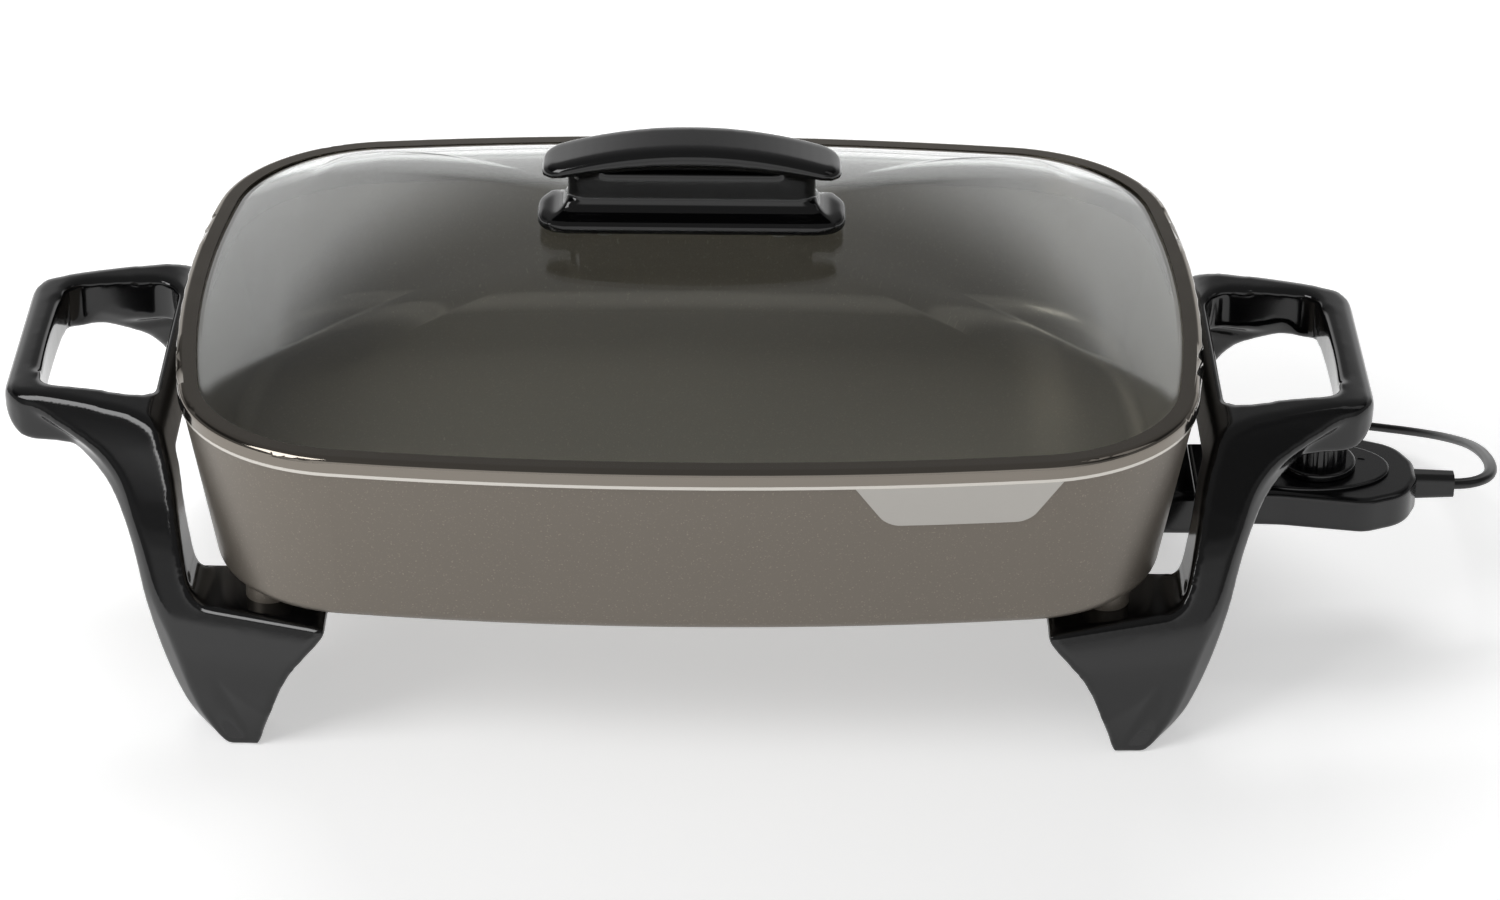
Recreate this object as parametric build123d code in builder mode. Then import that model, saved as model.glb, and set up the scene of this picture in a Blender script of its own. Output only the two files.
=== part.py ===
from build123d import *
from math import atan2, cos, degrees, pi, radians, sin, sqrt, tan
import os

# Electric skillet, in millimetres. The counter is z = 0, the pan is centred on the z axis, its
# long side lies along x, and the heat control plugs in at the +x end.

os.makedirs("parts", exist_ok=True)

# ---- pan ----------------------------------------------------------------------------------
pan_half_length = 205.0
pan_half_width = 153.6
long_side_radius = 1107.0    # the long sides bow out gently
short_side_radius = 574.0    # and so do the short ones
pan_corner = 72.0
ground_clearance = 63.0      # underside of the pan above the counter
pan_depth = 67.0
floor_thickness = 4.0
wall_thickness = 3.2
wall_lean = 12.4             # how far the wall steps in from the rim to the underside
rim_height = ground_clearance + floor_thickness + pan_depth
rim_band = 1.6               # bare machined edge
rim_ledge = 0.9              # the edge stands this far outside the coated wall
outer_bottom_radius = 6.0
inner_bottom_radius = 8.0

# ---- nameplate on the front wall ----------------------------------------------------------
plate_left = 63.7
plate_right = 143.0
plate_height = 16.0
plate_thickness = 0.8

# ---- heating element, probe and terminals -------------------------------------------------
element_radius = 4.0
element_height = 56.0        # centre line, shared by the terminal pins and the probe
loop_half_length = 140.0
loop_half_width = 92.0
rib_width = 14.0
rib_bottom = 52.0
rib_slot = 6.8               # the rib's lips close round the element to this width
terminal_spacing = 28.0
terminal_radius = 2.4
terminal_length = 28.0
bead_length = 4.0            # ceramic bead in each end of the sheath
probe_radius = 3.2
running_clearance = 0.1
boss_inner = 150.0           # casting round the two legs of the element
boss_outer = pan_half_length - 16
boss_half_width = 28.0
boss_bottom = 50.0
probe_nose = 118.0           # where the probe's bore ends

# ---- terminal guard -----------------------------------------------------------------------
guard_half_width = 30.0
guard_bottom = 46.0
guard_top = 65.0
guard_wall = 2.4
guard_end = pan_half_length + 1
guard_step = 61.5            # under this height the guard reaches in below the pan
guard_screw_spacing = 45.0
guard_screw_radius = 1.75

# ---- handle and leg mouldings -------------------------------------------------------------
moulding_wall = 3.4
channel_floor = 12.0         # the foot is solid up to here
leg_turn = 18.0              # the legs' faces are turned this far in plan
grip_reach = 68.5            # grip's outer face beyond the end of the pan
ring_thickness = 18.5
grip_corner_radius = 16.0
band_slant = 38.0            # turn of the band along each face's outer edge
facet_slant = 18.0           # lean of the facet at each toe
flare_height = 9.0           # the loop's opening widens below this height
flare_width = 9.0
grip_bend = 105.0            # the grip's corner, in from the pan's long side
grip_bend_turn = 50.0
loop_opening_outer = pan_half_width - 109     # half the opening's length, at the grip
loop_opening_inner = pan_half_width - 101     # and beside the pan
shelf_top = ground_clearance - 7.3
shelf_reach = 64.7           # shelf's inner end, in from the end of the pan
mount_x = pan_half_length - 40
mount_y = pan_half_width - 53.6
handle_boss_radius = 9.0
handle_screw_radius = 2.4
handle_washer_radius = 5.5
handle_washer_thickness = 1.0

# ---- lid ----------------------------------------------------------------------------------
lid_overhang = 0.4           # rim ring stands out past the pan by this much
ring_height = 6.3
ring_sheet = 0.8
ring_bead = 2.6              # roll of the ring's outer edge
ring_lip = 7.5               # width of the top lip over the glass
skirt_inset = 7.0
skirt_depth = 13.0
glass_thickness = 4.0
shoulder_profile = [(7.5, 5.0), (20, 18.0), (42, 26.6)]    # inset, height over the rim
crown_profile = [(0.75, 33.8), (0.5, 37.0), (0.25, 38.4)]    # share of the last outline, height
lid_screw_spacing = 70.0
lid_screw_radius = 2.2
gasket_thickness = 0.6
base_half_length = 62.0
base_half_width = 15.0
base_height = 5.8
neck_half_length = 49.5
neck_half_width = 8.0
grip_half_length = 60.0
grip_half_width = 14.0
lid_handle_height = 40.0

# ---- heat control -------------------------------------------------------------------------
control_start = pan_half_length + 1
control_length = 93.0
control_bottom = 46.5
control_parting = 54.0
control_top = 62.0
shell_wall = 2.0
shell_edge = 2.5             # rounding of the shells' outer edges
pad_height = 1.6             # oval pad round the dial
pad_half_length = 34.0
pad_half_width = 21.0
dial_x = pan_half_length + 53
dial_radius = 12.0
dial_skirt_radius = 16.0
dial_gap = 0.4
dial_height = 20.0
dial_flutes = 18
spindle_radius = 3.0
cam_radius = 6.0
cam_offset = 1.5
socket_radius = 3.2
block_start = pan_half_length - 8
block_length = 28.0
block_half_width = 18.5
control_screw_radius = 1.4
relief_length = 22.0
relief_width = 10.0
relief_height = 11.5
cord_exit_height = 55.0

# ---- supply cord --------------------------------------------------------------------------
cord_diameter = 5.2
coil_radius = 28.6
coil_section_radius = 5.6    # three turns bundled together
coil_x = 150.0
coil_y = 226.0
plug_length = 34.0
plug_width = 25.0
plug_height = 14.0
blade_spacing = 12.7
blade_length = 16.0
blade_thickness = 1.5
blade_height = 6.4
blade_root = 6.0             # length of each blade moulded into the plug


def pan_outline(inset=0.0):
    """Crowned rectangle: four bowed sides joined by tangent corners, stepped in by inset."""
    long_drop = long_side_radius - pan_half_width
    short_drop = short_side_radius - pan_half_length
    # each corner's centre keeps its distance from the centres of the two sides it joins
    r_long = long_side_radius - pan_corner
    r_short = short_side_radius - pan_corner
    apart = sqrt(long_drop**2 + short_drop**2)
    along = (r_long**2 - r_short**2 + apart**2) / (2 * apart)
    across = sqrt(r_long**2 - along**2)
    ux = -short_drop / apart
    uy = long_drop / apart
    corner_x = along * ux + across * uy
    corner_y = -long_drop + along * uy - across * ux
    long_angle = degrees(atan2(corner_y + long_drop, corner_x))
    short_angle = degrees(atan2(corner_y, corner_x + short_drop))
    with BuildSketch(mode=Mode.PRIVATE) as outline:
        with BuildLine():
            for side, turn in ((1, 0), (-1, 180)):
                CenterArc((0, -side * long_drop), long_side_radius - inset,
                          turn + long_angle, 180 - 2 * long_angle)
                CenterArc((-side * short_drop, 0), short_side_radius - inset,
                          turn - short_angle, 2 * short_angle)
                CenterArc((side * corner_x, side * corner_y), pan_corner - inset,
                          turn + short_angle, long_angle - short_angle)
                CenterArc((-side * corner_x, side * corner_y), pan_corner - inset,
                          turn + 180 - long_angle, long_angle - short_angle)
        make_face()
    return outline.sketch


def drafted_wall(inset, bottom, top, mode=Mode.ADD):
    """Solid inside the pan's drafted wall, stepped in by inset, between two heights."""
    sections = []
    for height in (bottom, top):
        lean = wall_lean * (rim_start - height) / (rim_start - ground_clearance)
        with BuildSketch(Plane.XY.offset(height)) as section:
            add(pan_outline(rim_ledge + inset + lean))
        sections.append(section.sketch)
    loft(sections, ruled=True, mode=mode)


def level_slab(bottom, thickness, inset, mode=Mode.ADD):
    """Level slab with the pan's outline, stepped in by inset."""
    with BuildSketch(Plane.XY.offset(bottom)) as outline:
        add(pan_outline(inset))
    extrude(outline.sketch, amount=thickness, mode=mode)


def element_line():
    """Centre line of the element: out along one terminal leg, round the loop and back."""
    half = terminal_spacing / 2
    loop = loop_half_length
    wide = loop_half_width
    return FilletPolyline((leg_end, half), (loop, half), (loop, wide), (-loop, wide),
                          (-loop, -wide), (loop, -wide), (loop, -half), (leg_end, -half),
                          radius=[12, 45, 60, 60, 45, 12])


def peg(plane, places, radius, length, mode=Mode.ADD):
    """Round pegs, or round holes with Mode.SUBTRACT, that start on a plane and run along its normal."""
    with BuildSketch(plane) as ends:
        with Locations(*places):
            Circle(radius)
    extrude(ends.sketch, amount=length, mode=mode)


def slab(plane, width, depth, length, corner=0.0, places=((0, 0),), mode=Mode.ADD):
    """Blocks with rounded corners that start on a plane and run along its normal."""
    with BuildSketch(plane) as ends:
        with Locations(*places):
            if corner:
                RectangleRounded(width, depth, corner)
            else:
                Rectangle(width, depth)
    extrude(ends.sketch, amount=length, mode=mode)


# ---- places shared by several pieces --------------------------------------------------------
rim_start = rim_height - rim_band
floor_height = ground_clearance + floor_thickness
leg_end = boss_outer + 3     # where the element's sheath stops, inside the guard
pin_start = leg_end - 6
terminal_places = [(sy * terminal_spacing / 2, element_height) for sy in (-1, 1)]
guard_screw_places = [(sy * guard_screw_spacing / 2, element_height - 2) for sy in (-1, 1)]
mount_places = [(sx * mount_x, sy * mount_y) for sx in (-1, 1) for sy in (-1, 1)]
lid_screw_places = [(sx * lid_screw_spacing / 2, 0) for sx in (-1, 1)]

# ---- pan ----------------------------------------------------------------------------------
with BuildPart() as pan_body:
    drafted_wall(0, ground_clearance, rim_start)
    fillet(pan_body.faces().sort_by(Axis.Z)[0].edges(), outer_bottom_radius)
    with BuildSketch(Plane.XY.offset(rim_start)):
        add(pan_outline())
    extrude(amount=rim_band)

    # rib that grips the element, swept along the element's centre line
    with BuildLine(Plane.XY.offset(element_height)) as rib_line:
        add(element_line())
    with BuildSketch(Plane.YZ.offset(leg_end)):
        with Locations((terminal_spacing / 2, (rib_bottom + ground_clearance) / 2)):
            Rectangle(rib_width, ground_clearance - rib_bottom + 1)
        with Locations((terminal_spacing / 2, element_height)):
            Circle(element_radius, mode=Mode.SUBTRACT)
        with Locations((terminal_spacing / 2, rib_bottom)):
            Rectangle(rib_slot, 2 * (element_height - rib_bottom), mode=Mode.SUBTRACT)
    sweep(path=rib_line.wires()[0])

    # the terminal legs end in a boss, which also carries the bore of the probe
    under_pan = Plane.XY.offset(boss_bottom)
    boss_height = ground_clearance + 0.5 - boss_bottom
    slab(under_pan, boss_outer - boss_inner, 2 * boss_half_width, boss_height, 4,
         [((boss_inner + boss_outer) / 2, 0)])
    slab(under_pan, boss_inner + 10 - probe_nose, 4 * probe_radius, boss_height, 6,
         [((boss_inner + 10 + probe_nose) / 2, 0)])
    peg(Plane.XY.offset(shelf_top), mount_places, handle_boss_radius, floor_height - 2 - shelf_top)
    # trims the rib's ends back to the boss
    slab(Plane.YZ.offset(boss_outer), 80, 30, 40, places=[(0, boss_bottom - 3.5)], mode=Mode.SUBTRACT)

    peg(Plane.YZ.offset(boss_inner - 4), terminal_places, element_radius, boss_outer - boss_inner + 21,
        Mode.SUBTRACT)
    peg(Plane.YZ.offset(probe_nose + 3), [(0, element_height)], probe_radius + running_clearance,
        boss_outer, Mode.SUBTRACT)
    peg(Plane.YZ.offset(boss_outer - 8), guard_screw_places, guard_screw_radius, 20, Mode.SUBTRACT)
    peg(Plane.XY.offset(shelf_top - 1), mount_places, handle_screw_radius, 8, Mode.SUBTRACT)

    # inside of the pan, with its rounded floor edge
    with BuildPart(mode=Mode.PRIVATE) as hollow:
        drafted_wall(wall_thickness, floor_height, rim_height + 1)
        fillet(hollow.faces().sort_by(Axis.Z)[0].edges(), inner_bottom_radius)
    add(hollow.part, mode=Mode.SUBTRACT)
pan_body.part.label = "pan_body"
export_step(pan_body.part, "parts/pan_body.step")

# thin plate that follows the front wall
with BuildPart() as nameplate:
    drafted_wall(-plate_thickness, ground_clearance, rim_start)
    drafted_wall(0, ground_clearance, rim_start, Mode.SUBTRACT)
    with BuildSketch(Plane.XZ):
        with BuildLine():
            upper = Line((plate_left, rim_start), (plate_right, rim_start))
            right = Polyline(upper @ 1, (plate_right - 7.5, rim_start - 7),
                             (plate_right - 11, rim_start - plate_height + 2.5))
            lower = Line(right @ 1, (plate_left + 10, rim_start - plate_height))
            Polyline(lower @ 1, (plate_left + 5.5, rim_start - 7), upper @ 0)
        make_face()
    extrude(amount=pan_half_width + 5, mode=Mode.INTERSECT)
nameplate.part.label = "nameplate"
export_step(nameplate.part, "parts/nameplate.step")

# ---- heating element ------------------------------------------------------------------------
with BuildPart() as heating_element:
    with BuildLine(Plane.XY.offset(element_height)) as sheath_line:
        add(element_line())
    with BuildSketch(Plane.YZ.offset(leg_end)):
        with Locations((terminal_spacing / 2, element_height)):
            Circle(element_radius)
    sweep(path=sheath_line.wires()[0])
    peg(Plane.YZ.offset(pin_start), terminal_places, terminal_radius, 20, Mode.SUBTRACT)
heating_element.part.label = "heating_element"
export_step(heating_element.part, "parts/heating_element.step")

with BuildPart() as terminal_pins:
    peg(Plane.YZ.offset(pin_start), terminal_places, terminal_radius, terminal_length)
    chamfer(terminal_pins.edges().group_by(Axis.X)[-1], 0.8)
terminal_pins.part.label = "terminal_pins"
export_step(terminal_pins.part, "parts/terminal_pins.step")

with BuildPart() as element_ends:
    peg(Plane.YZ.offset(leg_end), terminal_places, element_radius, bead_length)
    peg(Plane.YZ.offset(leg_end), terminal_places, terminal_radius, bead_length, Mode.SUBTRACT)
element_ends.part.label = "element_ends"
export_step(element_ends.part, "parts/element_ends.step")

# ---- terminal guard: a shroud under the pan's end, open towards the heat control -------------
guard_height = guard_top - guard_bottom
guard_centre = (0, (guard_top + guard_bottom) / 2)
guard_clear = pan_half_length - rim_ledge - wall_lean * (rim_height - guard_step) / pan_depth + 2
with BuildPart() as terminal_guard:
    slab(Plane.YZ.offset(boss_outer), 2 * guard_half_width, guard_height, guard_end - boss_outer, 3,
         [guard_centre])
    fillet(terminal_guard.edges().group_by(Axis.X)[-1], 0.8)
    inner = (2 * (guard_half_width - guard_wall), guard_height - 2 * guard_wall)
    slab(Plane.YZ.offset(boss_outer + guard_wall), *inner, 40, 1.5, [guard_centre], Mode.SUBTRACT)
    # step that clears the curved lower edge of the pan
    slab(Plane.XZ.offset(-guard_half_width - 1), 2 * (guard_clear - boss_outer), 20, 2 * guard_half_width + 2,
         places=[(boss_outer, guard_step + 10)], mode=Mode.SUBTRACT)
    slab(Plane.YZ.offset(guard_clear), inner[0], guard_wall, guard_wall,
         places=[(0, guard_step - guard_wall / 2)])
    slab(Plane.YZ.offset(boss_outer + guard_wall), inner[0], guard_wall, guard_clear - boss_outer,
         places=[(0, guard_step - guard_wall / 2)])
    slab(Plane.YZ.offset(guard_clear), inner[0], guard_top - guard_step + guard_wall - 1, guard_wall,
         places=[(0, (guard_top + guard_step - guard_wall - 1) / 2)])
    peg(Plane.YZ.offset(boss_outer - 1), terminal_places, element_radius, 8, Mode.SUBTRACT)
    peg(Plane.YZ.offset(boss_outer - 1), [(0, element_height)], probe_radius + 0.6, 8, Mode.SUBTRACT)
    peg(Plane.YZ.offset(boss_outer - 1), guard_screw_places, guard_screw_radius, 8, Mode.SUBTRACT)
terminal_guard.part.label = "terminal_guard"
export_step(terminal_guard.part, "parts/terminal_guard.step")

with BuildPart() as guard_screws:
    peg(Plane.YZ.offset(boss_outer - 8), guard_screw_places, guard_screw_radius, 8 + guard_wall)
    peg(Plane.YZ.offset(boss_outer + guard_wall), guard_screw_places, 3.2, 2)
    fillet(guard_screws.edges().group_by(Axis.X)[-1], 1.2)
guard_screws.part.label = "guard_screws"
export_step(guard_screws.part, "parts/guard_screws.step")

# ---- handle and leg mouldings ---------------------------------------------------------------
# The faces of the legs are ruled surfaces, turned in plan. Each leg is its front view, cut by its
# side view along the turned direction. Front views are measured from the end of the pan.
ring_bottom = rim_height - 16 - ring_thickness
reach = pan_half_width * cos(radians(leg_turn))
turn_x = cos(radians(leg_turn))
turn_y = sin(radians(leg_turn))
front_plane = Plane(origin=(pan_half_length, 0, 0), x_dir=(1, 0, 0), z_dir=(0, -1, 0))
side_plane = Plane(origin=(pan_half_length + 85 * turn_x, 85 * turn_y, 0),
                   x_dir=(turn_y, -turn_x, 0), z_dir=(-turn_x, -turn_y, 0))


def moulding_front():
    """Front view: top of the ring, its side by the pan, the shelf, the foot and the outer curve."""
    rim = rim_height
    with BuildSketch(mode=Mode.PRIVATE) as view:
        with BuildLine():
            top = Spline((grip_reach, rim - 16.2), (47, rim - 13.9), (25, rim - 14.5),
                         (12, rim - 16), (5.5, rim - 18.5))
            waist = Spline(top @ 1, (1.2, rim - 25), (-2.2, rim - 36), (-6.9, shelf_top + 15.8),
                           tangents=(top % 1, (-0.22, -1)))
            drop = Line(waist @ 1, (-10.5, shelf_top))
            shelf = Line(drop @ 1, (-shelf_reach, shelf_top))
            inner = Spline(shelf @ 1, (-61.5, shelf_top - 7), (-49.1, 32.8), (-40.2, 12), (-36.5, 0),
                           tangents=((0.1, -1), (0.2, -1)))
            sole = Line(inner @ 1, (-17, 0))
            outer = Spline(sole @ 1, (-8, 9.7), (-0.4, 22.5), (8.8, 50), (17.5, 78), (29.5, 92.5),
                           (45, ring_bottom - 1.8), (grip_reach - 10.5, ring_bottom - 0.5),
                           tangents=((0.7, 0.7), (1, 0.15)))
            knuckle = ThreePointArc(outer @ 1, (grip_reach - 2.8, ring_bottom + 3.5),
                                    (grip_reach, ring_bottom + 11))
            Line(knuckle @ 1, top @ 0)
        make_face()
        fillet(view.vertices().filter_by(lambda v: abs(v.Y - shelf_top) < 0.01 and v.X > -30), 10)
    return view.sketch


def channel_front():
    """Front view of the space inside the leg and the foot, one wall in from the outside."""
    wall = moulding_wall
    with BuildSketch(mode=Mode.PRIVATE) as view:
        with BuildLine():
            outer = Spline((-27, channel_floor), (-12, 26), (-1, 51), (7.5, 78.5), (14, ring_bottom - 8),
                           tangents=((0.7, 0.7), (0.6, 0.8)))
            waist = Line((1.5, ring_bottom - 8), (-7.5, shelf_top))
            shelf = Polyline(waist @ 1, (-12, shelf_top - wall), (4 - shelf_reach, shelf_top - wall))
            inner = Spline(shelf @ 1, (-46, 33), (-36, channel_floor), tangents=((0.5, -1), (0.3, -1)))
            Line(inner @ 1, outer @ 0)
            Line(outer @ 1, waist @ 0)
        make_face()
    return view.sketch


def moulding_side(skin=0.0):
    """Side view across the turned face: the face, the toe, the open back and the ring."""
    rim = rim_height
    with BuildSketch(mode=Mode.PRIVATE) as view:
        with BuildLine():
            face = Spline((reach - 78.3 - skin, rim - 13), (reach - 66.4 - skin, rim - 34),
                          (reach - 54.9 - skin, rim - 54), (reach - 43.9 - skin, shelf_top),
                          (reach - 38.9 - skin, 24))
            toe = Line(face @ 1, (reach - 37.9 - skin, skin))
            if skin:
                # the channel inside is open at the back and stops under the ring
                Polyline(toe @ 1, (-10, skin), (-10, rim - 13), face @ 0)
            else:
                sole = Line(toe @ 1, (reach - 65.4, 0))
                back = Spline(sole @ 1, (reach - 66.9, 30), (reach - 72.4, shelf_top),
                              (reach - 80, rim - 54), (reach - 86, ring_bottom - 6))
                Polyline(back @ 1, (reach - 87, ring_bottom), (-10, ring_bottom), (-10, rim),
                         (reach - 80, rim), face @ 0)
        make_face()
    return view.sketch


face_steps = [(rim_height - 13, 78.3), (rim_height - 34, 66.4), (rim_height - 54, 54.9), (shelf_top, 43.9),
              (24, 38.9), (-20, 37.0)]


def face_depth(x, z):
    """Where the turned face stands along y, at a place in the front view."""
    for (high, near), (low, far) in zip(face_steps, face_steps[1:]):
        if z >= low:
            break
    along = reach - near - (far - near) * (high - z) / (high - low)
    sideways = (side_plane.origin.X + along * turn_y - x) / turn_x
    return side_plane.origin.Y - along * turn_x - sideways * turn_y


def crease_cut(crease, slant, beyond):
    """Takes off what lies outside a crease on the front face, along a slanted direction."""
    start_y = -pan_half_width - 5
    points = []
    for x, z in crease:
        run = (face_depth(x, z) - start_y) / slant[1]
        points.append((x - run * slant[0] - pan_half_length, z - run * slant[2]))
    with BuildSketch(front_plane.offset(-start_y)) as outside:
        with BuildLine():
            edge = Spline(*points)
            Polyline(edge @ 1, *beyond, edge @ 0)
        make_face()
    extrude(outside.sketch, amount=130, dir=slant, mode=Mode.SUBTRACT)


with BuildPart() as right_handle_leg:
    with BuildSketch(front_plane):
        add(moulding_front())
    extrude(amount=pan_half_width)
    with BuildSketch(side_plane):
        add(moulding_side())
    extrude(amount=2 * pan_half_width, mode=Mode.INTERSECT)

    # band along the outer edge of the face, and the facet at the toe
    crease_cut([(279, 121), (265.6, 116.1), (252, 110), (241.6, 106), (232, 101.2), (224.2, 94), (218, 81),
                (214.2, 69.3), (210.2, 57), (204.6, 41), (197.6, 25), (186, 4), (178, -12)],
               (sin(radians(band_slant)), cos(radians(band_slant)), 0), [(60, -60), (140, -60), (140, 121)])
    crease_cut([(224, 72), (212, 55), (201.9, 42.5), (194, 33), (182, 24.3), (164.9, 16.3), (150, 10)],
               (0.1, sin(radians(facet_slant)), -cos(radians(facet_slant))),
               [(-120, -60), (160, -60), (160, 72)])

    # rounds the corner of the grip in plan
    grip_end = pan_half_length + grip_reach
    with BuildSketch(Plane.XY.offset(ring_bottom - 20)):
        with BuildLine():
            bend_y = grip_bend - pan_half_width
            turned = (grip_end - 40 * sin(radians(grip_bend_turn)),
                      bend_y - 40 * cos(radians(grip_bend_turn)))
            FilletPolyline((grip_end, 0), (grip_end, bend_y), turned, radius=grip_corner_radius)
            Polyline(turned, (grip_end + 20, turned[1]), (grip_end + 20, 0), (grip_end, 0))
        make_face()
    extrude(amount=60, mode=Mode.SUBTRACT)
    # opening of the loop handle
    with BuildSketch(Plane.XY.offset(ring_bottom - 12)) as finger_opening:
        with BuildLine():
            far = ThreePointArc((pan_half_length + 54, loop_opening_outer), (pan_half_length + 56, 0),
                                (pan_half_length + 54, -loop_opening_outer))
            Polyline(far @ 1, (pan_half_length + 8.5, -loop_opening_inner),
                     (pan_half_length + 8.5, loop_opening_inner), far @ 0)
        make_face()
        fillet(finger_opening.vertices(), 9)
    extrude(amount=40, mode=Mode.SUBTRACT)
    # its front and back edges are cut away below, where the fingers close round the grip
    flare = []
    for height, widening in ((flare_height, 0), (-8, flare_width)):
        with BuildSketch(Plane.XY.offset(ring_bottom + height)) as section:
            with Locations((pan_half_length + 33, 0)):
                RectangleRounded(31, 2 * (loop_opening_outer + 1 + widening), 9)
        flare.append(section.sketch)
    loft(flare, ruled=True, mode=Mode.SUBTRACT)
    # hollows the leg and the foot into a channel
    with BuildPart(mode=Mode.PRIVATE) as channel:
        with BuildSketch(front_plane):
            add(channel_front())
        extrude(amount=pan_half_width)
        with BuildSketch(side_plane):
            add(moulding_side(moulding_wall))
        extrude(amount=2 * pan_half_width, mode=Mode.INTERSECT)
    add(channel.part, mode=Mode.SUBTRACT)
    slab(Plane.XY.offset(shelf_top - moulding_wall), shelf_reach - 8, 32, moulding_wall,
         places=[(pan_half_length - shelf_reach / 2 - 5, -mount_y + 8)])
    peg(Plane.XY.offset(shelf_top - 5), [(mount_x, -mount_y)], handle_screw_radius + 0.4, 8,
        Mode.SUBTRACT)
    mirror(about=Plane.XZ)

right_handle_leg.part.label = "right_handle_leg"
export_step(right_handle_leg.part, "parts/right_handle_leg.step")

with BuildPart() as left_handle_leg:
    mirror(right_handle_leg.part, about=Plane.YZ)
left_handle_leg.part.label = "left_handle_leg"
export_step(left_handle_leg.part, "parts/left_handle_leg.step")

washer_top = shelf_top - moulding_wall
washer_bottom = washer_top - handle_washer_thickness
with BuildPart() as handle_washers:
    peg(Plane.XY.offset(washer_bottom), mount_places, handle_washer_radius, handle_washer_thickness)
    peg(Plane.XY.offset(washer_bottom), mount_places, handle_screw_radius,
        handle_washer_thickness, Mode.SUBTRACT)
handle_washers.part.label = "handle_washers"
export_step(handle_washers.part, "parts/handle_washers.step")

with BuildPart() as handle_screws:
    peg(Plane.XY.offset(washer_bottom), mount_places, handle_screw_radius, shelf_top + 6 - washer_bottom)
    peg(Plane.XY.offset(washer_bottom - 3), mount_places, 4.6, 3)
    fillet(handle_screws.edges().group_by(Axis.Z)[0], 1.5)
handle_screws.part.label = "handle_screws"
export_step(handle_screws.part, "parts/handle_screws.step")

# ---- lid ------------------------------------------------------------------------------------
with BuildPart(mode=Mode.PRIVATE) as ring_pocket:
    level_slab(rim_height + ring_sheet, ring_height - 2 * ring_sheet, ring_sheet - lid_overhang)
    fillet(ring_pocket.faces().sort_by(Axis.Z)[-1].edges(), ring_bead - ring_sheet)

# steel ring: rolled over the glass at the top, a flange on the pan and a skirt inside it
with BuildPart() as lid_rim:
    level_slab(rim_height, ring_height, -lid_overhang)
    fillet(lid_rim.faces().sort_by(Axis.Z)[-1].edges(), ring_bead)
    add(ring_pocket.part, mode=Mode.SUBTRACT)
    level_slab(rim_height + ring_height / 2, ring_height, ring_lip, Mode.SUBTRACT)
    level_slab(rim_height - skirt_depth, skirt_depth + ring_sheet, skirt_inset - ring_sheet)
    level_slab(rim_height - skirt_depth - 1, skirt_depth + ring_sheet + 2, skirt_inset, Mode.SUBTRACT)
lid_rim.part.label = "lid_rim"
export_step(lid_rim.part, "parts/lid_rim.step")


def dome(step, drop):
    """Domed solid over the pan, moved in by step and down by drop."""
    sections = []
    for inset, height in shoulder_profile:
        with BuildSketch(Plane.XY.offset(rim_height + height - drop)) as section:
            add(pan_outline(inset + step))
        sections.append(section.sketch)
    inset = shoulder_profile[-1][0]
    for share, height in crown_profile:
        with BuildSketch(Plane.XY.offset(rim_height + height - drop)) as section:
            add(scale(pan_outline(inset + step), by=share, mode=Mode.PRIVATE))
        sections.append(section.sketch)
    with BuildPart(mode=Mode.PRIVATE) as solid:
        loft(sections)
    return solid.part


with BuildPart() as lid_glass:
    add(ring_pocket.part)
    add(dome(0, 0))
    add(dome(glass_thickness / 2, glass_thickness), mode=Mode.SUBTRACT)
    level_slab(rim_height, shoulder_profile[0][1] - glass_thickness + 0.01,
               shoulder_profile[0][0] + glass_thickness / 2, Mode.SUBTRACT)
    peg(Plane.XY.offset(rim_height), lid_screw_places, lid_screw_radius, 60, Mode.SUBTRACT)
lid_glass.part.label = "lid_glass"
export_step(lid_glass.part, "parts/lid_glass.step")

crown = rim_height + crown_profile[-1][1]
base_bottom = crown + gasket_thickness
with BuildPart() as lid_handle_gasket:
    slab(Plane.XY.offset(crown - 4), 2 * (base_half_length - 3), 2 * (base_half_width - 3),
         4 + gasket_thickness, 8)
    add(dome(0, 0), mode=Mode.SUBTRACT)
    peg(Plane.XY.offset(rim_height), lid_screw_places, lid_screw_radius, 60, Mode.SUBTRACT)
lid_handle_gasket.part.label = "lid_handle_gasket"
export_step(lid_handle_gasket.part, "parts/lid_handle_gasket.step")

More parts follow.
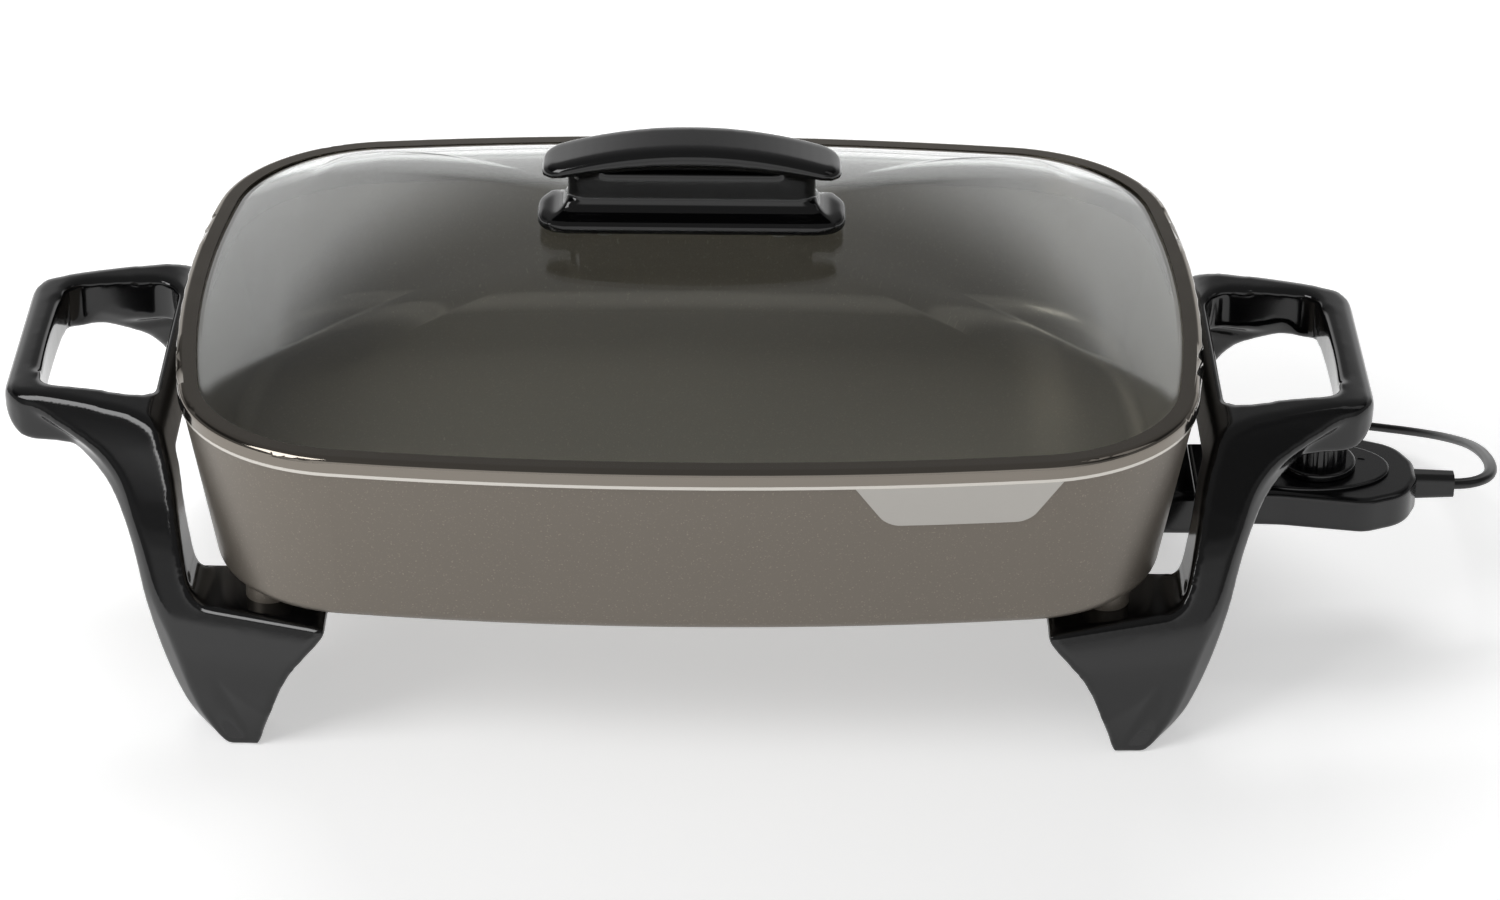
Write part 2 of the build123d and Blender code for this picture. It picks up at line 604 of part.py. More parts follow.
grip_top = base_bottom + lid_handle_height
grip_end_top = grip_top - 10
grip_end_bottom = grip_end_top - 4.5
with BuildPart() as lid_handle:
    slab(Plane.XY.offset(base_bottom), 2 * base_half_length, 2 * base_half_width, base_height, 11)
    fillet(lid_handle.edges().group_by(Axis.Z)[-1], 2.5)
    # neck between the base and the grip
    slab(Plane.XY.offset(base_bottom + 2), 2 * neck_half_length, 2 * neck_half_width, 26, 6)
    # arched grip, seen from the front, then cut to its rounded plan
    with BuildSketch(Plane.XZ.offset(-grip_half_width)):
        with BuildLine():
            upper = ThreePointArc((-grip_half_length, grip_end_top), (0, grip_top),
                                  (grip_half_length, grip_end_top))
            Line(upper @ 1, (grip_half_length, grip_end_bottom))
            lower = ThreePointArc((grip_half_length, grip_end_bottom), (0, grip_end_bottom + 6),
                                  (-grip_half_length, grip_end_bottom))
            Line(lower @ 1, upper @ 0)
        make_face()
    extrude(amount=2 * grip_half_width)
    with BuildPart(mode=Mode.PRIVATE) as limits:
        slab(Plane.XY.offset(base_bottom), 2 * base_half_length, 2 * base_half_width, 24)
        slab(Plane.XY.offset(base_bottom + 22), 2 * grip_half_length, 2 * grip_half_width, 30, 9)
    add(limits.part, mode=Mode.INTERSECT)
    fillet(lid_handle.faces().sort_by(Axis.Z)[-1].edges(), 4)
    peg(Plane.XY.offset(base_bottom - 1), lid_screw_places, lid_screw_radius, 13, Mode.SUBTRACT)
lid_handle.part.label = "lid_handle"
export_step(lid_handle.part, "parts/lid_handle.step")

under_glass = crown - glass_thickness
with BuildPart() as lid_handle_washers:
    peg(Plane.XY.offset(under_glass - 1.5), lid_screw_places, 5, 1.5)
    peg(Plane.XY.offset(under_glass - 2), lid_screw_places, lid_screw_radius, 4, Mode.SUBTRACT)
lid_handle_washers.part.label = "lid_handle_washers"
export_step(lid_handle_washers.part, "parts/lid_handle_washers.step")

with BuildPart() as lid_handle_screws:
    peg(Plane.XY.offset(under_glass - 1.5), lid_screw_places, lid_screw_radius, 17)
    peg(Plane.XY.offset(under_glass - 4), lid_screw_places, 4.2, 2.5)
    fillet(lid_handle_screws.edges().group_by(Axis.Z)[0], 1.2)
lid_handle_screws.part.label = "lid_handle_screws"
export_step(lid_handle_screws.part, "parts/lid_handle_screws.step")


# ---- heat control -----------------------------------------------------------------------------
control_end = control_start + control_length
relief_end = control_end + 16
relief_start = relief_end - relief_length
cavity_bottom = control_bottom + shell_wall
cavity_top = control_top - shell_wall
pad_top = control_top + pad_height
post_places = [(dial_x - 26.5, -16), (dial_x - 26.5, 16), (dial_x + 24, -15), (dial_x + 24, 15)]
post_radius = 3.4


def control_outline(inset=0.0):
    """Plan of the heat control: waisted beside the guard, wider round the dial, round at the end."""
    side = [(0, 21.5), (36, 22.8), (70, 28.5), (87, 21), (control_length, 7)]
    corners = [(control_start + x, sign * y) for sign in (1, -1) for x, y in side[::sign]]
    with BuildSketch(mode=Mode.PRIVATE) as outline:
        with BuildLine():
            FilletPolyline(*corners, radius=[40, 14, 18, 11, 11, 18, 14, 40])
            Line(corners[-1], corners[0])
        make_face()
        if inset:
            offset(amount=-inset, mode=Mode.REPLACE)
    return outline.sketch


def control_shell(bottom, thickness, inset, mode=Mode.ADD):
    """Slab with the plan of the heat control, stepped in by inset."""
    with BuildSketch(Plane.XY.offset(bottom)) as outline:
        add(control_outline(inset))
    extrude(outline.sketch, amount=thickness, mode=mode)


def relief_shape(grow=0.0):
    """Tapered moulding where the cord leaves the control."""
    sections = []
    for x, share in ((relief_start, 1.0), (relief_end, 0.88)):
        with BuildSketch(Plane.YZ.offset(x)) as section:
            with Locations((0, cord_exit_height)):
                RectangleRounded(relief_width * share + grow, relief_height * share + grow, 3)
        sections.append(section.sketch)
    loft(sections)


with BuildPart() as socket_block:
    slab(Plane.YZ.offset(block_start), 2 * block_half_width, cavity_top - cavity_bottom - 1, block_length, 2,
         [(0, (cavity_top + cavity_bottom + 1) / 2)])
    peg(Plane.YZ.offset(block_start), terminal_places, socket_radius, block_length, Mode.SUBTRACT)
    peg(Plane.YZ.offset(block_start), [(0, element_height)], probe_radius, block_length, Mode.SUBTRACT)
socket_block.part.label = "socket_block"
export_step(socket_block.part, "parts/socket_block.step")

with BuildPart() as terminal_sockets:
    peg(Plane.YZ.offset(block_start), terminal_places, socket_radius, block_length)
    peg(Plane.YZ.offset(block_start), terminal_places, terminal_radius + running_clearance,
        pin_start + terminal_length + 2 - block_start, Mode.SUBTRACT)
terminal_sockets.part.label = "terminal_sockets"
export_step(terminal_sockets.part, "parts/terminal_sockets.step")

block_end = block_start + block_length
probe_start = probe_nose + 4
with BuildPart() as probe_rod:
    peg(Plane.YZ.offset(probe_start), [(0, element_height)], probe_radius, block_end - probe_start)
    fillet(probe_rod.edges().group_by(Axis.X)[0], probe_radius - 0.4)
probe_rod.part.label = "probe_rod"
export_step(probe_rod.part, "parts/probe_rod.step")

with BuildPart() as control_lower_shell:
    control_shell(control_bottom, control_parting - control_bottom, 0)
    fillet(control_lower_shell.faces().sort_by(Axis.Z)[0].edges(), shell_edge)
    control_shell(cavity_bottom, control_parting, shell_wall, Mode.SUBTRACT)
    peg(Plane.XY.offset(cavity_bottom), post_places, post_radius, control_parting - cavity_bottom)
    peg(Plane.XY.offset(control_bottom - 1), post_places, control_screw_radius + 0.3, 20, Mode.SUBTRACT)
    peg(Plane.XY.offset(control_bottom - 1), post_places, 2.8, 3, Mode.SUBTRACT)
    add(socket_block.part, mode=Mode.SUBTRACT)
    slab(Plane.YZ.offset(control_start - 1), 2 * block_half_width, cavity_top - cavity_bottom - 1, 6, 2,
         [(0, (cavity_top + cavity_bottom + 1) / 2)], Mode.SUBTRACT)
    with BuildPart(mode=Mode.PRIVATE) as relief_hole:
        relief_shape()
    add(relief_hole.part, mode=Mode.SUBTRACT)
control_lower_shell.part.label = "control_lower_shell"
export_step(control_lower_shell.part, "parts/control_lower_shell.step")

with BuildPart() as control_upper_shell:
    control_shell(control_parting, control_top - control_parting, 0)
    fillet(control_upper_shell.faces().sort_by(Axis.Z)[-1].edges(), shell_edge)
    # oval pad that the dial stands on
    with BuildSketch(Plane.XY.offset(control_top - 0.5)):
        with Locations((dial_x - 4, 0)):
            Ellipse(pad_half_length, pad_half_width)
    extrude(amount=pad_height + 0.5)
    fillet(control_upper_shell.faces().sort_by(Axis.Z)[-1].edges(), 1)
    control_shell(control_parting - 5, cavity_top - control_parting + 5, shell_wall, Mode.SUBTRACT)
    peg(Plane.XY.offset(control_parting), post_places, post_radius, cavity_top - control_parting)
    peg(Plane.XY.offset(control_parting - 1), post_places, control_screw_radius, 7, Mode.SUBTRACT)
    peg(Plane.XY.offset(control_parting), [(dial_x, 0)], spindle_radius + running_clearance, 20,
        Mode.SUBTRACT)
    slab(Plane.YZ.offset(control_start - 1), 2 * block_half_width, cavity_top - cavity_bottom - 1, 6, 2,
         [(0, (cavity_top + cavity_bottom + 1) / 2)], Mode.SUBTRACT)
    add(relief_hole.part, mode=Mode.SUBTRACT)
control_upper_shell.part.label = "control_upper_shell"
export_step(control_upper_shell.part, "parts/control_upper_shell.step")

with BuildPart() as control_screws:
    peg(Plane.XY.offset(control_bottom + 0.2), post_places, 2.6, 1.8)
    peg(Plane.XY.offset(control_bottom + 1.5), post_places, control_screw_radius, 11)
control_screws.part.label = "control_screws"
export_step(control_screws.part, "parts/control_screws.step")

# thermostat: a ceramic base whose post holds two spring blades over the bimetal strip
base_start = block_end + 5
base_length = 46.0
base_top = cavity_bottom + 2.5
post_x = base_start + base_length - 8
lower_blade = base_top + 2.2
upper_blade = lower_blade + 2.2
spring_thickness = 0.4
with BuildPart() as thermostat_base:
    slab(Plane.XY.offset(cavity_bottom), base_length, 16, 2.5, 1, [(base_start + base_length / 2, 0)])
    slab(Plane.XY.offset(base_top), 8, 12, upper_blade + 1.5 - base_top, places=[(post_x + 4, 0)])
    for height in (lower_blade, upper_blade):
        slab(Plane.XY.offset(height), 10, 7, spring_thickness, places=[(post_x + 4, 0)], mode=Mode.SUBTRACT)
thermostat_base.part.label = "thermostat_base"
export_step(thermostat_base.part, "parts/thermostat_base.step")

with BuildPart() as bimetal_strip:
    slab(Plane.XY.offset(base_top), 24, 8, 0.8, places=[(base_start + 13, 0)])
bimetal_strip.part.label = "bimetal_strip"
export_step(bimetal_strip.part, "parts/bimetal_strip.step")

with BuildPart() as contact_blades:
    for height in (lower_blade, upper_blade):
        slab(Plane.XY.offset(height), 34, 7, spring_thickness, places=[(post_x - 9, 0)])
contact_blades.part.label = "contact_blades"
export_step(contact_blades.part, "parts/contact_blades.step")

with BuildPart() as contact_points:
    peg(Plane.XY.offset(lower_blade + spring_thickness), [(post_x - 22, 0)], 2, 0.8)
    peg(Plane.XY.offset(upper_blade - 0.8), [(post_x - 22, 0)], 2, 0.8)
contact_points.part.label = "contact_points"
export_step(contact_points.part, "parts/contact_points.step")

# dial: knob, spindle and the cam that presses the upper blade
cam_bottom = upper_blade + spring_thickness + 0.3
with BuildPart() as dial_cam:
    peg(Plane.XY.offset(cam_bottom), [(dial_x + cam_offset, 0)], cam_radius, 2)
    peg(Plane.XY.offset(cam_bottom), [(dial_x, 0)], spindle_radius, 2, Mode.SUBTRACT)
dial_cam.part.label = "dial_cam"
export_step(dial_cam.part, "parts/dial_cam.step")

knob_bottom = pad_top + dial_gap
with BuildPart() as dial_spindle:
    spindle_length = knob_bottom + dial_height - 6 - cam_bottom
    peg(Plane.XY.offset(cam_bottom), [(dial_x, 0)], spindle_radius, spindle_length)
dial_spindle.part.label = "dial_spindle"
export_step(dial_spindle.part, "parts/dial_spindle.step")

with BuildPart() as dial_knob:
    peg(Plane.XY.offset(knob_bottom), [(dial_x, 0)], dial_skirt_radius, 3)
    fillet(dial_knob.edges().group_by(Axis.Z)[-1], 1.2)
    peg(Plane.XY.offset(knob_bottom + 2), [(dial_x, 0)], dial_radius, dial_height - 2)
    fillet(dial_knob.edges().group_by(Axis.Z)[-1], 1.5)
    with BuildSketch(Plane.XY.offset(knob_bottom + 3)):
        with Locations((dial_x, 0)):
            with PolarLocations(dial_radius + 0.8, dial_flutes):
                Circle(1.4)
    extrude(amount=dial_height, mode=Mode.SUBTRACT)
    peg(Plane.XY.offset(knob_bottom), [(dial_x, 0)], spindle_radius, dial_height - 6, Mode.SUBTRACT)
dial_knob.part.label = "dial_knob"
export_step(dial_knob.part, "parts/dial_knob.step")

# ---- supply cord --------------------------------------------------------------------------------
cord_radius = cord_diameter / 2
with BuildPart() as strain_relief:
    relief_shape()
strain_relief.part.label = "strain_relief"
export_step(strain_relief.part, "parts/strain_relief.step")

# the cord bends back beside the control, comes down to the counter and runs on behind the pan
cord_points = [
    (relief_end, 0, cord_exit_height),
    (relief_end + 7.5, 0, cord_exit_height),
    (relief_end + 14, 5, cord_exit_height - 0.5),
    (relief_end + 18.5, 14, cord_exit_height - 2),
    (relief_end + 20.5, 30, cord_exit_height - 6),
    (relief_end + 22, 54, cord_exit_height - 14),
    (relief_end + 20, 88, cord_exit_height - 27),
    (relief_end + 8, 122, cord_exit_height - 41),
    (relief_end - 22, 147, cord_exit_height - 50),
    (relief_end - 62, 161, cord_radius + 0.4),
    (relief_end - 102, 170, cord_radius),
    (coil_x + 26, coil_y - coil_radius - 14, cord_radius),
    (coil_x + 2, coil_y - coil_radius, coil_section_radius),
]


def bend_radii(points):
    """Largest tangent arc at each inner point: 0.45 of its shorter run over the tangent of half the turn."""
    corners = [Vector(*point) for point in points]
    radii = []
    for before, here, after in zip(corners, corners[1:], corners[2:]):
        run_in = here - before
        run_out = after - here
        half_turn = radians(run_in.get_angle(run_out)) / 2
        radii.append(0.45 * min(run_in.length, run_out.length) / tan(half_turn))
    return radii


def cord_tube(points):
    """Round cord along straight runs joined by tangent arcs; prints its radii and checks its volume."""
    radii = bend_radii(points)
    with BuildLine(mode=Mode.PRIVATE):
        line = FilletPolyline(*points, radius=radii)
    with BuildSketch(Plane(origin=points[0], z_dir=line % 0)) as section:
        Circle(cord_radius)
    tube = sweep(section.sketch, path=line)
    print("cord length", round(line.length, 1), "bend radii", [round(radius, 1) for radius in radii],
          "volume ratio", round(tube.volume / (pi * cord_radius**2 * line.length), 4))


with BuildPart() as supply_cord:
    cord_tube(cord_points)
supply_cord.part.label = "supply_cord"
export_step(supply_cord.part, "parts/supply_cord.step")

# the rest of the cord lies coiled behind the pan, with the plug beside it
with BuildPart() as cord_coil:
    with BuildSketch(Plane(origin=(coil_x, coil_y, 0), x_dir=(1, 0, 0), z_dir=(0, -1, 0))):
        with Locations((coil_radius, coil_section_radius)):
            Circle(coil_section_radius)
    revolve(axis=Axis((coil_x, coil_y, 0), (0, 0, 1)))
cord_coil.part.label = "cord_coil"
export_step(cord_coil.part, "parts/cord_coil.step")

tail_y = coil_y + coil_radius
plug_start = coil_x - 54
with BuildPart() as plug_lead:
    cord_tube([
        (coil_x, tail_y, coil_section_radius),
        (coil_x - 17, tail_y + 1.5, coil_section_radius),
        (coil_x - 35, tail_y - 1, plug_height / 2),
        (plug_start, tail_y - 1, plug_height / 2),
    ])
plug_lead.part.label = "plug_lead"
export_step(plug_lead.part, "parts/plug_lead.step")

plug_end = plug_start - plug_length
plug_centre = (tail_y - 1, plug_height / 2)
with BuildPart() as plug_blades:
    slab(Plane.YZ.offset(plug_end - blade_length), blade_thickness, blade_height, blade_length + blade_root,
         places=[(plug_centre[0] + sy * blade_spacing / 2, plug_centre[1]) for sy in (-1, 1)])
    fillet(plug_blades.edges().filter_by(Axis.Y).group_by(Axis.X)[0], 1.5)
plug_blades.part.label = "plug_blades"
export_step(plug_blades.part, "parts/plug_blades.step")

with BuildPart() as plug_body:
    sections = []
    for x, width, height in ((plug_start, 9, 8), (plug_start - 12, plug_width * 0.8, plug_height - 1),
                             (plug_end, plug_width, plug_height)):
        with BuildSketch(Plane.YZ.offset(x)) as section:
            with Locations(plug_centre):
                RectangleRounded(width, height, 3)
        sections.append(section.sketch)
    loft(sections, ruled=True)
    add(plug_blades.part, mode=Mode.SUBTRACT)
plug_body.part.label = "plug_body"
export_step(plug_body.part, "parts/plug_body.step")
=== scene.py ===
# %% [markdown]
# # An electric skillet with a glass lid
#
# This is a counter-top cooking pan: a coated cast pan on two black handle-and-leg mouldings, a
# domed glass lid in a steel ring, and a heat control that plugs in at the right-hand end. The
# working solids come from the CAD frame. Here they get their finishes, softer moulded edges, a
# real cord, and a small studio set. Every length is in metres, in the frame of the CAD.

import math

import bmesh
import bpy
from mathutils import Matrix, Quaternion, Vector
from mathutils.bvhtree import BVHTree


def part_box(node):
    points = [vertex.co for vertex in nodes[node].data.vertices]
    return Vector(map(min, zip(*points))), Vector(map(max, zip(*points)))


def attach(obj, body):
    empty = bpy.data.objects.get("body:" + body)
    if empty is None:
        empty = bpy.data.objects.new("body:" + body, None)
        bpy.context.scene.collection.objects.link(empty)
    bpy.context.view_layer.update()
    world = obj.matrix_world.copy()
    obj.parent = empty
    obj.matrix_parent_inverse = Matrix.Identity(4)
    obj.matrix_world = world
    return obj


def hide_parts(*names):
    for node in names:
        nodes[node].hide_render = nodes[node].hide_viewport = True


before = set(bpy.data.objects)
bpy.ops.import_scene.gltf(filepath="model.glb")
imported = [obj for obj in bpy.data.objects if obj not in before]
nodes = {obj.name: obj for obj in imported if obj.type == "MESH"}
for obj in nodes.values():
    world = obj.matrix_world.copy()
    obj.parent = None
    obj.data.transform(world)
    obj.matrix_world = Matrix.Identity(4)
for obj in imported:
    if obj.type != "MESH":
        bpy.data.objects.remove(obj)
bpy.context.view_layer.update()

MM = 0.001
RIM_HEIGHT = 134.0 * MM      # top edge of the pan above the counter
scene = bpy.context.scene

# %% [markdown]
# ## Camera
#
# The pan is seen from the front and from a little under thirty degrees above, with a long lens
# from about two metres, so its far edge is hardly smaller than its near one. A camera that looks
# along its own -Z axis is turned towards a target with `to_track_quat`, then rolled a touch.

# %% Place the camera
CAMERA_PLACE = Vector((0.01647, -1.74069, 0.9984))
CAMERA_TARGET = Vector((0.02442, 0.0, 0.06784))
CAMERA_ROLL = math.radians(0.64)

camera_data = bpy.data.cameras.new("camera")
camera_data.sensor_width = 36.0
camera_data.lens = 115.06
camera = bpy.data.objects.new("camera", camera_data)
scene.collection.objects.link(camera)
camera.rotation_mode = "QUATERNION"
camera.location = CAMERA_PLACE
aim = (CAMERA_TARGET - CAMERA_PLACE).to_track_quat("-Z", "Y")
camera.rotation_quaternion = aim @ Quaternion((0, 0, 1), CAMERA_ROLL)
scene.camera = camera
print("camera looks along", [round(v, 3) for v in aim @ Vector((0, 0, -1))])

# %% [markdown]
# ## Helpers for materials
#
# Colours are written as the hex values a picture editor shows, and Blender wants them linear, so
# one function turns them. One small function adds a node, sets it and links it.

# %% Colour and node helpers
def linear(hex_colour):
    """Linear red, green, blue and alpha of an sRGB colour such as '#6B645C'."""
    channels = [int(hex_colour[i:i + 2], 16) / 255 for i in (1, 3, 5)]
    return [c / 12.92 if c <= 0.04045 else ((c + 0.055) / 1.055) ** 2.4 for c in channels] + [1.0]


def new_material(name, **shader_values):
    """A material whose Principled shader has the given values on its own sockets."""
    material = bpy.data.materials.new(name)
    material.use_nodes = True
    shader = material.node_tree.nodes["Principled BSDF"]
    for socket, value in shader_values.items():
        shader.inputs[socket.replace("_", " ")].default_value = value
    return material, shader


def add_node(material, kind, settings=None, links=None):
    """Adds a node, sets its properties and sockets, and links sockets from other nodes' outputs."""
    tree = material.node_tree
    node = tree.nodes.new(kind)
    for name, value in (settings or {}).items():
        if hasattr(node, str(name)):
            setattr(node, name, value)
        else:
            node.inputs[name].default_value = value
    for name, source in (links or {}).items():
        tree.links.new(source, node.inputs[name])
    return node


def per_size(millimetres):
    """Scale of a texture node whose features are this many millimetres apart."""
    return 1.0 / (millimetres * MM)


def dress(material, *node_names):
    """Gives CAD nodes or pieces this material and no other."""
    for name in node_names:
        obj = nodes.get(name) or bpy.data.objects[name]
        obj.data.materials.clear()
        obj.data.materials.append(material)


print("white turns to", linear("#FFFFFF")[:3])

# %% [markdown]
# ## The cord
#
# A heat control has a short flat cord of two conductors side by side, about 5 mm across. It
# leaves the strain relief, bends back behind the control, comes down to the counter and runs on
# behind the pan. What is left of it is wound into a small coil there, with the plug beside it.
# Straight runs with rounded corners would look like bent wire, so one NURBS curve with listed
# control points makes a line that is smooth all the way. Its section is a closed profile with a
# shallow groove on each side, where the two conductors meet.

# %% The cord's run to the coil
CORD_WIDTH = 5.3 * MM
CORD_THICKNESS = 4.3 * MM
COIL_CENTRE = Vector((0.150, 0.226, 0.0))
relief_end = Vector((0.315, 0.0, 0.055))
route = [
    relief_end,
    relief_end + Vector((3.6, 0, 0)) * MM,
    relief_end + Vector((9.9, 2.5, -0.3)) * MM,
    relief_end + Vector((14.8, 7.4, -1)) * MM,
    relief_end + Vector((17.8, 14.5, -2.2)) * MM,
    relief_end + Vector((19.4, 25, -4.6)) * MM,
    relief_end + Vector((20.2, 39, -8.8)) * MM,
    relief_end + Vector((20.4, 60, -16)) * MM,
    relief_end + Vector((18.5, 88, -27)) * MM,
    relief_end + Vector((8, 122, -41)) * MM,
    relief_end + Vector((-22, 147, -50)) * MM,
    relief_end + Vector((-62, 161, -52)) * MM,
    relief_end + Vector((-102, 170, -52.4)) * MM,
    COIL_CENTRE + Vector((26, -42.6, 2.6)) * MM,
]

print("cord points before the coil:", len(route))

# %% The cord's coil and plug lead
# an outer turn, two thirds of an inner one, then about half a turn laid over both; each row is
# a number of turns, a radius and a height
COIL_STEPS = 16
COIL_TURNS = 2.25
COIL_START = -90             # degrees: the cord comes in at the coil's front
stations = [(0.0, 31.3, 2.6), (0.85, 31.3, 2.6), (1.0, 25.9, 2.6), (1.66, 25.9, 2.6),
            (1.8, 25.9, 7.9), (2.0, 28.6, 7.9), (COIL_TURNS, 29.0, 7.9)]
for step in range(int(COIL_STEPS * COIL_TURNS) + 1):
    turn = step / COIL_STEPS
    for (t0, r0, z0), (t1, r1, z1) in zip(stations, stations[1:]):
        if t0 <= turn <= t1:
            share = (turn - t0) / (t1 - t0)
            radius = (r0 + share * (r1 - r0)) * MM
            height = (z0 + share * (z1 - z0)) * MM
            break
    angle = math.radians(COIL_START - 360 * turn)
    route.append(COIL_CENTRE + Vector((radius * math.cos(angle), radius * math.sin(angle), height)))
PLUG_LEAD = ((121.0, 236.0, 7.8), (117.7, 244.1, 7.5), (111.5, 250.3, 7.2), (103.4, 253.6, 7.0),
             (96, 253.6, 7.0))
route += [Vector(point) * MM for point in PLUG_LEAD]
print("cord points:", len(route))

# %% The cord's line
cord_curve = bpy.data.curves.new("cord_line", "CURVE")
cord_curve.dimensions = "3D"
cord_curve.resolution_u = 8
spline = cord_curve.splines.new("NURBS")
spline.points.add(len(route) - 1)
for point, place in zip(spline.points, route):
    point.co = (*place, 1.0)
spline.order_u = 3
spline.use_endpoint_u = True
line_object = bpy.data.objects.new("cord_line", cord_curve)
line_mesh = bpy.data.meshes.new_from_object(line_object)

# %% The cord's section and skin
PROFILE_STEPS = 20
GROOVE_DEPTH = 0.24          # share of the thickness that the two grooves take
GROOVE_WIDTH = 0.9 * MM
profile_curve = bpy.data.curves.new("cord_profile", "CURVE")
profile = profile_curve.splines.new("POLY")
profile.points.add(PROFILE_STEPS - 1)
for step, point in enumerate(profile.points):
    angle = 2 * math.pi * step / PROFILE_STEPS
    across = CORD_WIDTH / 2 * math.cos(angle)
    groove = 1 - GROOVE_DEPTH * math.exp(-(across / GROOVE_WIDTH) ** 2)
    point.co = (across, CORD_THICKNESS / 2 * math.sin(angle) * groove, 0, 1)
profile.use_cyclic_u = True
cord_curve.bevel_mode = "OBJECT"
cord_curve.bevel_object = bpy.data.objects.new("cord_profile", profile_curve)
cord_curve.use_fill_caps = True
scene.collection.objects.link(line_object)
depsgraph = bpy.context.evaluated_depsgraph_get()
cord_mesh = bpy.data.meshes.new_from_object(line_object.evaluated_get(depsgraph))
bpy.data.objects.remove(line_object)
cord = bpy.data.objects.new("cord", cord_mesh)
scene.collection.objects.link(cord)
for polygon in cord_mesh.polygons:
    polygon.use_smooth = True
print("cord faces:", len(cord_mesh.polygons))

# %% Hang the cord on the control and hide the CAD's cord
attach(cord, "control")
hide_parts("supply_cord", "cord_coil", "plug_lead")
print("cord rides on the control, from", [round(v, 3) for v in relief_end])

# %% [markdown]
# ## The set
#
# A plain white floor carries the pan and its soft shadow. The world is white to the camera and to
# reflections near the horizon, and darker overhead, as a studio with a white table under a dark
# ceiling is: that is what gives glossy black plastic its mix of pale and nearly black fields.
# The floor's paint glows a little, but only to the eye, in reflections and through the glass, so
# it looks white and still carries a shadow, and the lamps can stay low enough to keep the pan's
# colour.

# %% Floor
FLOOR_HALF_SIZE = 6.0
FLOOR_GLOW = 0.46            # what the eye and the reflections see on top of the lit paint
floor_mesh = bpy.data.meshes.new("floor")
shaper = bmesh.new()
bmesh.ops.create_grid(shaper, x_segments=1, y_segments=1, size=FLOOR_HALF_SIZE)
shaper.to_mesh(floor_mesh)
shaper.free()
floor = bpy.data.objects.new("floor", floor_mesh)
scene.collection.objects.link(floor)
floor_paint, floor_shader = new_material("white_table", Base_Color=linear("#F4F4F4"), Roughness=0.9,
                                         Specular_IOR_Level=0.1)
rays = add_node(floor_paint, "ShaderNodeLightPath")
seen = add_node(floor_paint, "ShaderNodeMath", {"operation": "MAXIMUM"},
                {0: rays.outputs["Is Camera Ray"], 1: rays.outputs["Is Glossy Ray"]})
seen_too = add_node(floor_paint, "ShaderNodeMath", {"operation": "MAXIMUM"},
                    {0: seen.outputs[0], 1: rays.outputs["Is Transmission Ray"]})
glow = add_node(floor_paint, "ShaderNodeMath", {"operation": "MULTIPLY", 1: FLOOR_GLOW},
                {0: seen_too.outputs[0]})
floor_shader.inputs["Emission Color"].default_value = (1, 1, 1, 1)
floor_paint.node_tree.links.new(glow.outputs[0], floor_shader.inputs["Emission Strength"])
floor.data.materials.append(floor_paint)
print("floor spans", floor.dimensions.x, "m")

# %% World
HORIZON = 1.0
OVERHEAD = 0.20
SIDES = 0.25                 # the studio is darker to the left and the right
DARKENING_UP = (0.30, 0.44)  # upward share of a direction between which the white fades
DARKENING_ASIDE = (0.40, 0.80)
world = bpy.data.worlds.new("studio")
world.use_nodes = True
scene.world = world
background = world.node_tree.nodes["Background"]
direction = add_node(world, "ShaderNodeTexCoord")
split = add_node(world, "ShaderNodeSeparateXYZ", links={0: direction.outputs["Generated"]})
by_height = add_node(world, "ShaderNodeMapRange", {
    "interpolation_type": "SMOOTHSTEP", "From Min": DARKENING_UP[0], "From Max": DARKENING_UP[1],
    "To Min": HORIZON, "To Max": OVERHEAD}, {"Value": split.outputs["Z"]})
sideways = add_node(world, "ShaderNodeMath", {"operation": "ABSOLUTE"}, {0: split.outputs["X"]})
by_side = add_node(world, "ShaderNodeMapRange", {
    "interpolation_type": "SMOOTHSTEP", "From Min": DARKENING_ASIDE[0], "From Max": DARKENING_ASIDE[1],
    "To Min": 1.0, "To Max": SIDES}, {"Value": sideways.outputs[0]})
level = add_node(world, "ShaderNodeMath", {"operation": "MULTIPLY"},
                 {0: by_height.outputs[0], 1: by_side.outputs[0]})
rays = add_node(world, "ShaderNodeLightPath")
to_camera = add_node(world, "ShaderNodeMath", {"operation": "MAXIMUM"},
                     {0: level.outputs[0], 1: rays.outputs["Is Camera Ray"]})
world.node_tree.links.new(to_camera.outputs[0], background.inputs["Color"])
background.inputs["Strength"].default_value = 1.0
scene.view_settings.view_transform = "Standard"
print("world goes from", HORIZON, "at the horizon to", OVERHEAD, "overhead")

# %% Lamps
LAMP_TARGET = Vector((0, 0, 0.08))
# name, place, size across and along, power in watts
LAMPS = [
    ("key_softbox", (-1.3, -0.9, 1.4), (1.1, 0.9), 17.0),
    ("rear_softbox", (-0.2, 1.3, 1.5), (1.6, 0.6), 17.0),
    ("right_softbox", (1.3, -0.2, 1.2), (0.6, 0.8), 0.8),
]
for name, place, (across, along), watts in LAMPS:
    lamp_data = bpy.data.lights.new(name, "AREA")
    lamp_data.shape = "RECTANGLE"
    lamp_data.size = across
    lamp_data.size_y = along
    lamp_data.energy = watts
    lamp = bpy.data.objects.new(name, lamp_data)
    lamp.location = place
    lamp.rotation_euler = (LAMP_TARGET - lamp.location).to_track_quat("-Z", "Y").to_euler()
    # the rear lamp would draw a bright arc on the glass
    lamp.visible_glossy = name != "rear_softbox"
    lamp.visible_transmission = name != "rear_softbox"
    scene.collection.objects.link(lamp)
print("lamps:", len(LAMPS))

